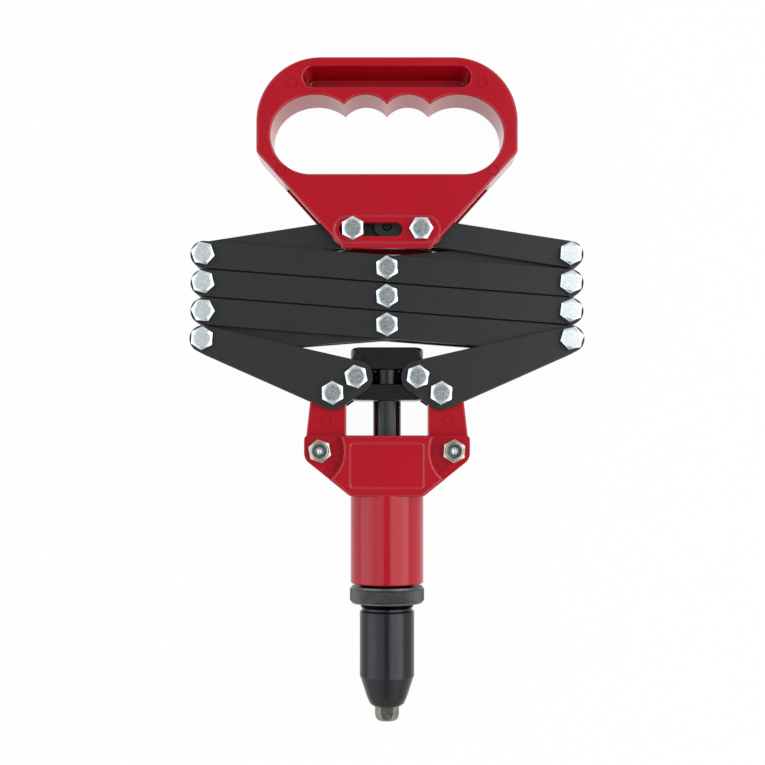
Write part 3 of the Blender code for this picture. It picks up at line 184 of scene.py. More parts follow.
# Turned black pieces
CROSSHEAD_HALF_DEPTH = 8.9 * MM
CROSSHEAD_NECK_RADIUS = 8.0 * MM
CROSSHEAD_TOP_BLOCK = 10.4 * MM
CROSSHEAD_FLANGE = 7.5 * MM
CROSSHEAD_ROUND = 1.6 * MM
CROSSHEAD_CHAMFER = 0.5 * MM
CROSSHEAD_EASE = 0.4 * MM
RING_CHAMFER = 1.0 * MM
RING_TRIM = 0.9 * MM
THREAD_RADIUS = 13.1 * MM
NOSE_THREAD_PITCH = 1.5 * MM
NOSE_THREAD_DEPTH = 0.8 * MM
NOSE_THREAD_END = 0.6 * MM
NOSE_THREAD_LEAD = 1.0 * MM
THREAD_SHOWING = 2.7 * MM
HOUSING_RADIUS = 13.4 * MM
HOUSING_CHAMFER = 0.7 * MM
HOUSING_STEP = (0.25 * MM, 0.3 * MM)
HOUSING_CONE = (10.1 * MM, 9.4 * MM)
HOUSING_TIP = (8.6 * MM, 3.6 * MM)
HOUSING_TIP_CHAMFER = (1.7 * MM, 1.3 * MM)
HOUSING_SEAT = (4.3 * MM, 7.0 * MM)
HOUSING_BORE_RADIUS = 10.3 * MM
HOUSING_BORE_CHAMFER = 1.0 * MM
NOSE_ACROSS_FLATS = 10.2 * MM
NOSE_STRAIGHT = 3.4 * MM
NOSE_TIP_RADIUS = 3.9 * MM
NOSE_EASE = (0.15 * MM, 1, 25)
SPIGOT_RADIUS = 4.0 * MM
SPIGOT_CHAMFER = 0.6 * MM
MANDREL_RADIUS = 1.7 * MM
MANDREL_SINK = 0.4 * MM

# Sides of round shapes, and what counts as one point or as one flat
FINE_SIDES = 64
BROAD_SIDES = 96
HOLE_SIDES = 32
HANDLE_SIDES = 120
SAME_POINT = 0.003 * MM
SAME_CORNER = 0.004 * MM
SAME_RIM = 0.02 * MM
SAME_FLAT = math.radians(0.5)

# Photograph's frame, and the studio
IMAGE_PIXELS = 765
MM_PER_PIXEL = 0.491
AXIS_PIXEL = (387, 455)
CAMERA_HEIGHT = 650 * MM
CAMERA_BELOW_EARS = 1.8 * MM
SENSOR_WIDTH = 36.0
CLIP = (0.01, 20.0)
WHITE = (1.0, 1.0, 1.0, 1.0)
FLOOR_SIZE = 6.0
FLOOR_GLOW = 0.97
SKY_FADE = (0.56, 0.75)
LAMP_DISTANCE = 1.1
LAMP_LENGTH = 2.0
# Each lamp's tilt from straight above and half its span, in degrees
KEY_LAMP = (40.2, 29.8)
FILL_LAMP = (-49.2, 38.8)


def middle(node):
    """The middle of a CAD node's box."""
    low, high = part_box(node)
    return (low + high) / 2


AXIS_Z = middle("lock_ring").z
EAR_Y = middle("left_ear_lock_nut").y
BOLT_Y = middle("left_handle_bolt").y


def deselect():
    """Leaves object mode with nothing selected."""
    if bpy.context.object is not None and bpy.context.object.mode != "OBJECT":
        bpy.ops.object.mode_set(mode="OBJECT")
    bpy.ops.object.select_all(action="DESELECT")


def pick(*objects):
    """Selects these objects only, with the first one active."""
    deselect()
    for obj in objects:
        obj.select_set(True)
    bpy.context.view_layer.objects.active = objects[0]
    return objects[0]


def settle(obj):
    """Puts the object's place into its mesh and leaves the object at the origin."""
    pick(obj)
    bpy.ops.object.transform_apply(location=True, rotation=True, scale=True)
    return obj


def joined(objects):
    """One object of several."""
    first = pick(*objects)
    bpy.ops.object.join()
    return settle(first)


def drum(x, y, z_low, z_high, radius, sides=FINE_SIDES, far_radius=None):
    """A round bar along Z, or a cone where the far radius differs."""
    deselect()
    place = (x, y, (z_low + z_high) / 2)
    bpy.ops.mesh.primitive_cone_add(
        vertices=sides,
        radius1=radius,
        radius2=radius if far_radius is None else far_radius,
        depth=z_high - z_low,
        location=place,
    )
    return settle(bpy.context.object)


def edit_all(obj):
    """Edit mode with the whole mesh selected."""
    pick(obj)
    bpy.ops.object.mode_set(mode="EDIT")
    bpy.ops.mesh.select_all(action="SELECT")


def ejector_mark(casting, x, y, face):
    """Cuts the ring that an ejector pin leaves in a casting's face."""
    outer, inner = EJECTOR_RADII
    ring = drum(x, y, face - EJECTOR_DEPTH, face + PAST, outer, HOLE_SIDES)
    combine(ring, drum(x, y, face - PAST, face + 2 * PAST, inner, HOLE_SIDES))
    combine(casting, ring)


def belt(circles, z_low, z_high, sides=FINE_SIDES, flare=0.0):
    """A prism whose outline is a belt laid round circles, each given as x, y and radius.

    A flare makes its upper end that much wider all round, or narrower if it is negative.
    """
    block = joined([drum(x, y, z_low, z_high, radius, sides, radius + flare)
                    for x, y, radius in circles])
    edit_all(block)
    bpy.ops.mesh.convex_hull()
    bpy.ops.mesh.select_all(action="SELECT")
    bpy.ops.mesh.dissolve_limited(angle_limit=SAME_FLAT)
    bpy.ops.mesh.normals_make_consistent(inside=False)
    bpy.ops.object.mode_set(mode="OBJECT")
    return block


def both_sides(circles):
    """The circles and their mirror images across the tool's axis."""
    return list(circles) + [(-x, y, radius) for x, y, radius in circles]


def box_block(low, high):
    """A plain block between two corners, used as a cutter."""
    deselect()
    size = [b - a for a, b in zip(low, high)]
    place = [(a + b) / 2 for a, b in zip(low, high)]
    bpy.ops.mesh.primitive_cube_add(size=1.0, location=place, scale=size)
    return settle(bpy.context.object)


def combine(obj, tool, operation="DIFFERENCE"):
    """Joins or cuts with a second shape, which is used up."""
    step = obj.modifiers.new("Shape", "BOOLEAN")
    step.operation = operation
    step.solver = "EXACT"
    step.object = tool
    pick(obj)
    bpy.ops.object.modifier_apply(modifier=step.name)
    mesh = tool.data
    bpy.data.objects.remove(tool)
    bpy.data.meshes.remove(mesh)
    return obj


def drill(obj, x, y, z_low, z_high, radius):
    """Cuts a round hole along Z, right through between two faces."""
    return combine(obj, drum(x, y, z_low - PAST, z_high + PAST, radius, HOLE_SIDES))


def ease(obj, width, segments=2, angle=40):
    """Rounds every edge that is sharper than the angle."""
    step = obj.modifiers.new("Eased edges", "BEVEL")
    step.width = width
    step.segments = segments
    step.limit_method = "ANGLE"
    step.angle_limit = math.radians(angle)
    step.miter_outer = "MITER_ARC"
    pick(obj)
    bpy.ops.object.modifier_apply(modifier=step.name)
    return obj


def tidy_flats(obj):
    """Melts flat regions into whole faces, so that the next rounding has clean edges."""
    edit_all(obj)
    bpy.ops.mesh.remove_doubles(threshold=SAME_CORNER)
    bpy.ops.mesh.dissolve_limited(angle_limit=SAME_FLAT)
    bpy.ops.object.mode_set(mode="OBJECT")
    return obj


def draw(points, closed=False):
    """A wire drawn by extruding one vertex from each point to the next."""
    deselect()
    bpy.ops.mesh.primitive_plane_add(size=MM, location=points[0])
    wire = settle(bpy.context.object)
    edit_all(wire)
    bpy.ops.mesh.merge(type="CENTER")
    for start, end in zip(points, points[1:]):
        step = Vector(end) - Vector(start)
        bpy.ops.mesh.extrude_region_move(TRANSFORM_OT_translate={"value": step})
    if closed:
        bpy.ops.mesh.select_all(action="SELECT")
        bpy.ops.mesh.edge_face_add()
    bpy.ops.object.mode_set(mode="OBJECT")
    return wire


def lathe(points, centre, axis, sides):
    """A profile's points turned once round an axis."""
    piece = draw(points)
    edit_all(piece)
    bpy.ops.mesh.spin(steps=sides, angle=2 * math.pi, center=centre, axis=axis)
    bpy.ops.mesh.select_all(action="SELECT")
    bpy.ops.mesh.remove_doubles(threshold=SAME_POINT)
    bpy.ops.mesh.normals_make_consistent(inside=False)
    bpy.ops.object.mode_set(mode="OBJECT")
    return piece


def spun(profile, sides=BROAD_SIDES):
    """A piece turned about the tool's axis, from radius and y."""
    points = [(radius, level, AXIS_Z) for radius, level in profile]
    return lathe(points, (0.0, 0.0, AXIS_Z), (0.0, 1.0, 0.0), sides)


def upright(profile, x=0.0, y=0.0, sides=FINE_SIDES // 2):
    """A piece turned about an upright axis, from radius and z."""
    points = [(x + radius, y, level) for radius, level in profile]
    return lathe(points, (x, y, 0.0), (0.0, 0.0, 1.0), sides)


def arc(x, y, radius, start, end, steps):
    """Points on an arc, with its angles in degrees."""
    turns = [math.radians(start + (end - start) * step / steps) for step in range(steps + 1)]
    return [(x + radius * math.cos(turn), y + radius * math.sin(turn)) for turn in turns]


def smooth(obj, angle=32):
    """Smooth shading with the real corners kept sharp and wide flats kept flat."""
    pick(obj)
    bpy.ops.object.shade_smooth_by_angle(angle=math.radians(angle))
    step = obj.modifiers.new("Even shading", "WEIGHTED_NORMAL")
    step.keep_sharp = True
    bpy.ops.object.modifier_apply(modifier=step.name)
    return obj


def seat(obj, node, material):
    """Finishes a piece that stands for a CAD node: name, shading, finish and body."""
    settle(obj)
    smooth(obj)
    obj.name = node + "_detail"
    obj.data.name = obj.name
    obj.data.materials.clear()
    obj.data.materials.append(material)
    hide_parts(node)
    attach(obj, BODY_OF[node])
    return obj


def copied(obj, shift, turn=0.0, about=None):
    """A copy with its own mesh, moved and then turned about an upright axis."""
    pick(obj)
    bpy.ops.object.duplicate(linked=False)
    twin = bpy.context.object
    edit_all(twin)
    bpy.ops.transform.translate(value=shift)
    if turn:
        bpy.ops.transform.rotate(
            value=-math.radians(turn), orient_axis="Z", center_override=about
        )
    bpy.ops.object.mode_set(mode="OBJECT")
    return twin


def linear(code):
    """A six-digit sRGB colour as linear red, green, blue and alpha."""
    parts = [int(code[index:index + 2], 16) / 255 for index in (0, 2, 4)]
    curved = [part / 12.92 if part <= 0.04045 else ((part + 0.055) / 1.055) ** 2.4 for part in parts]
    return (*curved, 1.0)


def per(size):
    """A texture's scale for a pattern of this real size."""
    return 1.0 / size


# Most of a noise pattern's values lie between these.
NOISE_LOW, NOISE_HIGH = 0.3, 0.7


def add_node(tree, kind, values=None, links=None, stops=(), **settings):
    """Adds a node with its settings, values and links. A link from a node is its first output.

    The stops are the places and colours on a colour ramp.
    """
    node = tree.nodes.new(kind)
    for name, value in settings.items():
        setattr(node, name, value)
    for name, value in (values or {}).items():
        node.inputs[name].default_value = value
    for name, source in (links or {}).items():
        socket = source.outputs[0] if isinstance(source, bpy.types.Node) else source
        tree.links.new(socket, node.inputs[name])
    for index, (place, colour) in enumerate(stops):
        node.color_ramp.elements[index].position = place
        node.color_ramp.elements[index].color = colour
    return node


def spread(low, high):
    """Values that bring a noise pattern into a range, such as roughness."""
    return {"From Min": NOISE_LOW, "From Max": NOISE_HIGH, "To Min": low, "To Max": high}


def new_material(name):
    """An empty node material, and the piece's own Object coordinates."""
    material = bpy.data.materials.new(name)
    material.use_nodes = True
    tree = material.node_tree
    tree.nodes.clear()
    return material, tree, add_node(tree, "ShaderNodeTexCoord").outputs["Object"]


def surfaced(material, tree, shader):
    """The material, with its shader linked to its output."""
    add_node(tree, "ShaderNodeOutputMaterial", links={"Surface": shader})
    return material


def gloss_enamel(dark, light):
    """Stoved gloss enamel on a zinc casting: deep, wet shine over a faint orange peel."""
    material, tree, place = new_material("gloss_red_enamel")
    cloud = add_node(tree, "ShaderNodeTexNoise", links={"Vector": place},
                     values={"Scale": per(30 * MM), "Detail": 1.0, "Roughness": 0.4})
    base = add_node(tree, "ShaderNodeValToRGB", links={"Fac": cloud},
                    stops=[(0.2, dark), (0.8, light)])
    peel = add_node(tree, "ShaderNodeTexNoise", links={"Vector": place},
                    values={"Scale": per(1.7 * MM), "Detail": 2.0, "Roughness": 0.4})
    grit = add_node(tree, "ShaderNodeTexVoronoi", links={"Vector": place},
                    values={"Scale": per(3.1 * MM), "Randomness": 1.0})
    # Specks of dust caught in the enamel stand up at the centres of the cells.
    speck = add_node(tree, "ShaderNodeMapRange", links={"Value": grit},
                     values={"From Min": 0.0, "From Max": 0.07, "To Min": 1.0, "To Max": 0.0})
    wave = add_node(tree, "ShaderNodeBump", links={"Height": peel},
                    values={"Strength": 0.22, "Distance": 0.05 * MM})
    bump = add_node(tree, "ShaderNodeBump", links={"Height": speck, "Normal": wave},
                    values={"Strength": 0.35, "Distance": 0.05 * MM})
    rough = add_node(tree, "ShaderNodeMapRange", links={"Value": cloud},
                     values=spread(0.11, 0.17))
    shader = add_node(tree, "ShaderNodeBsdfPrincipled",
                      values={"IOR": 1.5, "Specular IOR Level": 0.4},
                      links={"Base Color": base, "Roughness": rough, "Normal": bump})
    return surfaced(material, tree, shader)


def satin_black(dark, light):
    """Satin black baked coating on stamped steel: soft sheen with a fine dusty grain."""
    material, tree, place = new_material("satin_black_coating")
    cloud = add_node(tree, "ShaderNodeTexNoise", links={"Vector": place},
                     values={"Scale": per(9 * MM), "Detail": 4.0, "Roughness": 0.6})
    base = add_node(tree, "ShaderNodeValToRGB", links={"Fac": cloud},
                    stops=[(NOISE_LOW, dark), (NOISE_HIGH, light)])
    # The coating's real grain is about 0.1 mm. It is drawn coarser, so that it shows.
    grain = add_node(tree, "ShaderNodeTexNoise", links={"Vector": place},
                     values={"Scale": per(0.5 * MM), "Detail": 2.0})
    bump = add_node(tree, "ShaderNodeBump", links={"Height": grain},
                    values={"Strength": 0.25, "Distance": 0.03 * MM})
    rough = add_node(tree, "ShaderNodeMapRange", links={"Value": grain},
                     values=spread(0.34, 0.44))
    shader = add_node(tree, "ShaderNodeBsdfPrincipled",
                      values={"IOR": 1.5, "Specular IOR Level": 0.4},
                      links={"Base Color": base, "Roughness": rough, "Normal": bump})
    return surfaced(material, tree, shader)


def zinc_plating(name, dark, light):
    """Zinc plating on cold-headed steel: a soft metal shine with a fine crystalline speckle."""
    material, tree, place = new_material(name)
    # Real zinc crystals are under 0.1 mm. They are drawn coarser, so that they show.
    crystal = add_node(tree, "ShaderNodeTexVoronoi", links={"Vector": place},
                       values={"Scale": per(0.55 * MM), "Randomness": 1.0})
    cloud = add_node(tree, "ShaderNodeTexNoise", links={"Vector": place},
                     values={"Scale": per(1.3 * MM), "Detail": 4.0, "Roughness": 0.65})
    base = add_node(tree, "ShaderNodeValToRGB", links={"Fac": cloud},
                    stops=[(NOISE_LOW, dark), (NOISE_HIGH, light)])
    bump = add_node(tree, "ShaderNodeBump", links={"Height": crystal},
                    values={"Strength": 0.3, "Distance": 0.03 * MM})
    rough = add_node(tree, "ShaderNodeMapRange", links={"Value": cloud},
                     values=spread(0.17, 0.27))
    shader = add_node(tree, "ShaderNodeBsdfPrincipled", values={"Metallic": 1.0},
                      links={"Base Color": base, "Roughness": rough, "Normal": bump})
    return surfaced(material, tree, shader)


def turned_finish(name, dark, light, roughness):
    """Turned steel: fine tool marks run round the piece, a little uneven along its length."""
    material, tree, place = new_material(name)
    stretch = add_node(tree, "ShaderNodeMapping", links={"Vector": place},
                       values={"Scale": (0.15, 1.0, 0.15)})
    # Real tool marks are about 0.1 mm apart. They are drawn coarser, so that they show.
    marks = add_node(tree, "ShaderNodeTexNoise", links={"Vector": stretch},
                     values={"Scale": per(0.45 * MM), "Detail": 3.0})
    cloud = add_node(tree, "ShaderNodeTexNoise", links={"Vector": place},
                     values={"Scale": per(6 * MM), "Detail": 3.0})
    base = add_node(tree, "ShaderNodeValToRGB", links={"Fac": cloud},
                    stops=[(NOISE_LOW, linear(dark)), (NOISE_HIGH, linear(light))])
    bump = add_node(tree, "ShaderNodeBump", links={"Height": marks},
                    values={"Strength": 0.3, "Distance": 0.03 * MM})
    rough = add_node(tree, "ShaderNodeMapRange", links={"Value": marks},
                     values=spread(roughness - 0.05, roughness + 0.07))
    shader = add_node(tree, "ShaderNodeBsdfPrincipled", values={"Metallic": 1.0},
                      links={"Base Color": base, "Roughness": rough, "Normal": bump})
    return surfaced(material, tree, shader)


def nylon_ring():
    """Moulded nylon of the lock nuts' insert: pale, waxy and slightly translucent."""
    material, tree, place = new_material("moulded_nylon")
    cloud = add_node(tree, "ShaderNodeTexNoise", links={"Vector": place},
                     values={"Scale": per(1.0 * MM), "Detail": 2.0})
    base = add_node(tree, "ShaderNodeValToRGB", links={"Fac": cloud},
                    stops=[(NOISE_LOW, linear("5D635F")), (NOISE_HIGH, linear("757B77"))])
    shader = add_node(tree, "ShaderNodeBsdfPrincipled", links={"Base Color": base},
                      values={"IOR": 1.53, "Roughness": 0.45, "Subsurface Weight": 0.1})
    return surfaced(material, tree, shader)


FINISHES = {}


def finish(name):
    """The material for a finish, made the first time it is asked for."""
    colours = bpy.context.scene.riveter_colours

    def shades(word):
        """The deep and the lighter tone of a colour that the panel shows."""
        return [(*getattr(colours, key), 1.0) for key in (word + "_deep", word)]

    makers = {
        "enamel": lambda: gloss_enamel(*shades("enamel")),
        "plate": lambda: satin_black(*shades("plate")),
        "zinc": lambda: zinc_plating("bright_zinc_plating", *shades("zinc")),
        "dull_zinc": lambda: zinc_plating("dull_zinc_plating", linear("8F8D86"), linear("B8B5AC")),
        "knurled": lambda: turned_finish("black_knurled_steel", "565857", "626463", 0.32),
        "oxide": lambda: turned_finish("black_oxide_steel", "343537", "38393C", 0.25),
        "bright": lambda: turned_finish("bright_turned_steel", "6F6F68", "8E8E85", 0.2),
        "nylon": nylon_ring,
    }
    if name not in FINISHES:
        FINISHES[name] = makers[name]()
    return FINISHES[name]


def pivot(node):
    """A pivot's place in plan, from the fastener that sits in it."""
    return middle(node).xy


ARM_PIVOTS = {
    "lower_rising_arm": ("left_pivot_bottom", "centre_pivot_lower", "right_pivot_lower"),
    "lower_falling_arm": ("left_pivot_lower", "centre_pivot_lower", "right_pivot_bottom"),
    "middle_rising_arm": ("left_pivot_lower", "centre_pivot_middle", "right_pivot_upper"),
    "middle_falling_arm": ("left_pivot_upper", "centre_pivot_middle", "right_pivot_lower"),
    "upper_rising_arm": ("left_pivot_upper", "centre_pivot_upper", "right_pivot_top"),
    "upper_falling_arm": ("left_pivot_top", "centre_pivot_upper", "right_pivot_upper"),
    "left_top_arm": ("left_pivot_top", "left_handle_bolt", "apex_pin"),
    "right_top_arm": ("right_pivot_top", "right_handle_bolt", "apex_pin"),
}


def plate_pair(name, circles, holes, width):
    """A stamped plate with eased edges for the front node, and its twin for the rear node."""
    low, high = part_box(name + "_front")
    plate = belt(circles, low.z, high.z)
    for x, y, radius in holes:
        drill(plate, x, y, low.z, high.z, radius)
    ease(tidy_flats(plate), width, 3)
    rear = copied(plate, (0.0, 0.0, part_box(name + "_rear")[0].z - low.z))
    seat(plate, name + "_front", finish("plate"))
    seat(rear, name + "_rear", finish("plate"))


def hex_block(z_low, z_high, face_radius):
    """A hexagon about the origin, with its corners turned off at the top."""
    block = drum(0.0, 0.0, z_low, z_high, HEX_ACROSS_FLATS / math.sqrt(3), 6)
    reach = (z_high - z_low) / CHAMFER_SLOPE
    cone = drum(0.0, 0.0, z_low, z_high, face_radius + reach, FINE_SIDES, face_radius)
    return combine(block, cone, "INTERSECT")


def dished_head(z_low, z_high):
    """A bolt head with a shallow dish stamped in its round face."""
    head = hex_block(z_low, z_high, HEAD_FACE_RADIUS)
    radius = HEAD_FACE_RADIUS - HEAD_RIM
    dish = drum(0.0, 0.0, z_high - HEAD_DISH, z_high + PAST, radius, FINE_SIDES, radius + PAST)
    return combine(head, dish)


def threaded_end(z_end, radius, length):
    """A bolt's free end, with rings for its thread, about the origin and pointing down."""
    profile = [(0.0, z_end), (radius - THREAD_DEPTH, z_end)]
    level = z_end + THREAD_DEPTH
    while level < z_end + length:
        profile.append((radius, level))
        profile.append((radius - THREAD_DEPTH, level + THREAD_PITCH / 2))
        level += THREAD_PITCH
    profile.append((0.0, level))
    return upright(profile)


def plain_nut(z_low, z_high, bore_radius):
    """A nut about the origin with both its faces chamfered and its bore countersunk."""
    nut = hex_block(z_low, z_high, NUT_FACE_RADIUS)
    under = drum(0.0, 0.0, z_low, z_high, NUT_FACE_RADIUS, FINE_SIDES,
                 NUT_FACE_RADIUS + (z_high - z_low) / CHAMFER_SLOPE)
    combine(nut, under, "INTERSECT")
    drill(nut, 0.0, 0.0, z_low, z_high, bore_radius)
    mouth = drum(0.0, 0.0, z_low - NUT_SINK, z_low + NUT_SINK, bore_radius + 2 * NUT_SINK,
                 HOLE_SIDES, bore_radius - NUT_SINK / 2)
    return combine(nut, mouth)


def pivot_bolt(node, shank_radius, collars, with_nut):
    """A bolt with its spacers and nut about the origin, at its node's own levels."""
    low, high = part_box(node)
    head_low = high.z - HEAD_HEIGHT
    parts = [dished_head(head_low, high.z)]
    nut_high = low.z + BOLT_TIP + NUT_HEIGHT
    body_low = nut_high - PAST if with_nut else low.z + NUT_HEIGHT
    parts.append(drum(0.0, 0.0, body_low, head_low + PAST, shank_radius, HOLE_SIDES))
    for collar_low, collar_high in collars:
        parts.append(drum(0.0, 0.0, AXIS_Z + collar_low, AXIS_Z + collar_high, SPACER_RADIUS,
                          HOLE_SIDES))
    if with_nut:
        parts.append(plain_nut(low.z + BOLT_TIP, nut_high, shank_radius - THREAD_DEPTH))
    parts.append(threaded_end(low.z, shank_radius, body_low - low.z))
    return joined([ease(part, *FASTENER_EASE) for part in parts])


def place_copies(template, nodes, turns, coat="zinc"):
    """Copies of a fastener about the origin, each turned a little on its own pivot."""
    for node, turn in zip(nodes, turns):
        x, y = pivot(node)
        twin = copied(template, (x, y, 0.0), turn, (x, y, 0.0))
        seat(twin, node, finish(coat))
    bpy.data.objects.remove(template)


class RIVETER_PG_colours(PropertyGroup):
    """Colours of the painted and plated finishes"""

    enamel: FloatVectorProperty(
        name="Enamel", description="Red of the castings where the enamel is thickest",
        subtype="COLOR", default=linear("B60D22")[:3], min=0.0, max=1.0)
    enamel_deep: FloatVectorProperty(
        name="Deep enamel", description="Darker red of the castings",
        subtype="COLOR", default=linear("AE0C20")[:3], min=0.0, max=1.0)
    plate: FloatVectorProperty(
        name="Plate", description="Lighter tone of the black coating",
        subtype="COLOR", default=linear("1E1F22")[:3], min=0.0, max=1.0)
    plate_deep: FloatVectorProperty(
        name="Deep plate", description="Darker tone of the black coating",
        subtype="COLOR", default=linear("191A1C")[:3], min=0.0, max=1.0)
    zinc: FloatVectorProperty(
        name="Zinc", description="Lighter tone of the zinc plating",
        subtype="COLOR", default=linear("D9E0E1")[:3], min=0.0, max=1.0)
    zinc_deep: FloatVectorProperty(
        name="Deep zinc", description="Darker tone of the zinc plating",
        subtype="COLOR", default=linear("B9C4C8")[:3], min=0.0, max=1.0)


class RIVETER_PG_sizes(PropertyGroup):
    """Edge rounds and fine relief that the castings and plates are finished with"""

    handle_round: FloatProperty(
        name="Handle round", description="Radius of the handle's outer and inner edges",
        default=1.1 * MM, min=0.5 * MM, max=2.6 * MM, unit="LENGTH")
    yoke_round: FloatProperty(
        name="Yoke round", description="Radius of the yoke block's outer edges",
        default=1.6 * MM, min=0.3 * MM, max=1.8 * MM, unit="LENGTH")
    casting_ease: FloatProperty(
        name="Casting ease", description="Radius of a casting's smaller edges",
        default=0.4 * MM, min=0.1 * MM, max=1 * MM, unit="LENGTH")
    plate_ease: FloatProperty(
        name="Plate ease", description="Tumbled edge radius of the stamped plates",
        default=0.55 * MM, min=0.1 * MM, max=1 * MM, unit="LENGTH")
    knurl_pitch: FloatProperty(
        name="Knurl pitch", description="Width of one diamond of the lock ring's knurl",
        default=1.5 * MM, min=0.6 * MM, max=2 * MM, unit="LENGTH")
    knurl_depth: FloatProperty(
        name="Knurl depth", description="Height of one diamond of the lock ring's knurl",
        default=0.5 * MM, min=0.0, max=0.6 * MM, unit="LENGTH")


class RIVETER_OT_arms(Operator):
    """Model the stamped arms of the lattice and the two short arms under the handle"""

    bl_idname = "riveter.arms"
    bl_label = "Tong arms"

    def execute(self, context):
        width = context.scene.riveter_sizes.plate_ease
        for name, nodes in ARM_PIVOTS.items():
            ends = [pivot(node) for node in nodes]
            circles = [(*ends[0], ARM_END_RADIUS), (*ends[2], ARM_END_RADIUS)]
            holes = [(*end, PIVOT_HOLE_RADIUS) for end in ends[:2]]
            last = PIVOT_HOLE_RADIUS
            if name == "left_top_arm":
                last = APEX_HOLE_RADIUS
            if name == "right_top_arm":
                last = APEX_PIN_RADIUS + FIT_GAP
            holes.append((*ends[2], last))
            if name == "lower_falling_arm":
                shift_x, shift_y = FREE_SLOT_SHIFT
                holes.append((ends[2].x + shift_x, ends[2].y + shift_y, PIVOT_HOLE_RADIUS))
            plate_pair(name, circles, holes, width)
        return {"FINISHED"}


class RIVETER_OT_cranks(Operator):
    """Model the three-cornered crank plates, left and right"""

    bl_idname = "riveter.cranks"
    bl_label = "Cranks"

    def execute(self, context):
        width = context.scene.riveter_sizes.plate_ease
        for word in ("left", "right"):
            strut, groove = pivot(word + "_strut_bolt"), pivot(word + "_groove_bolt")
            tip = pivot(word + "_pivot_bottom")
            circles = [(*strut, CRANK_LOBE_RADIUS), (*groove, CRANK_LOBE_RADIUS),
                       (*tip, ARM_END_RADIUS)]
            tip_hole = PIVOT_HOLE_RADIUS if word == "left" else FREE_HOLE_RADIUS
            holes = [(*strut, PIVOT_HOLE_RADIUS), (*groove, PIVOT_HOLE_RADIUS), (*tip, tip_hole)]
            plate_pair(word + "_crank", circles, holes, width)
        return {"FINISHED"}


class RIVETER_OT_bolts(Operator):
    """Model the hexagon bolts with their spacers and nuts, and copy them to their pivots"""

    bl_idname = "riveter.bolts"
    bl_label = "Pivot bolts"

    def execute(self, context):
        tongs = ["left_pivot_lower", "left_pivot_upper", "left_pivot_top", "centre_pivot_lower",
                 "centre_pivot_middle", "centre_pivot_upper", "right_pivot_lower",
                 "right_pivot_upper", "right_pivot_top"]
        cranks = ["left_strut_bolt", "left_groove_bolt", "right_strut_bolt", "right_groove_bolt"]
        spaced = [FRONT_SPACER, INNER_SPACER, REAR_SPACER]
        # Each row has bolts alike: their nodes, each head's turn in degrees as the photo
        # shows it, the shank's radius, the spacers, and whether the nut is one with the bolt.
        rows = [
            (tongs, [26, 13, 18, 2, 5, 3, -7, -6, -4], SHANK_RADIUS, [INNER_SPACER], True),
            (cranks, [2, 11, -3, -9], SHANK_RADIUS, [], True),
            (["left_pivot_bottom"], [-4], SHANK_RADIUS, spaced, True),
            (["right_pivot_bottom"], [-17], FREE_SHANK_RADIUS, [WIDE_SPACER], True),
            (["left_handle_bolt"], [1], SHANK_RADIUS, spaced, False),
            (["right_handle_bolt"], [30], SHANK_RADIUS, [WIDE_SPACER], False),
        ]
        for nodes, turns, radius, spacers, with_nut in rows:
            place_copies(pivot_bolt(nodes[0], radius, spacers, with_nut), nodes, turns)
        return {"FINISHED"}


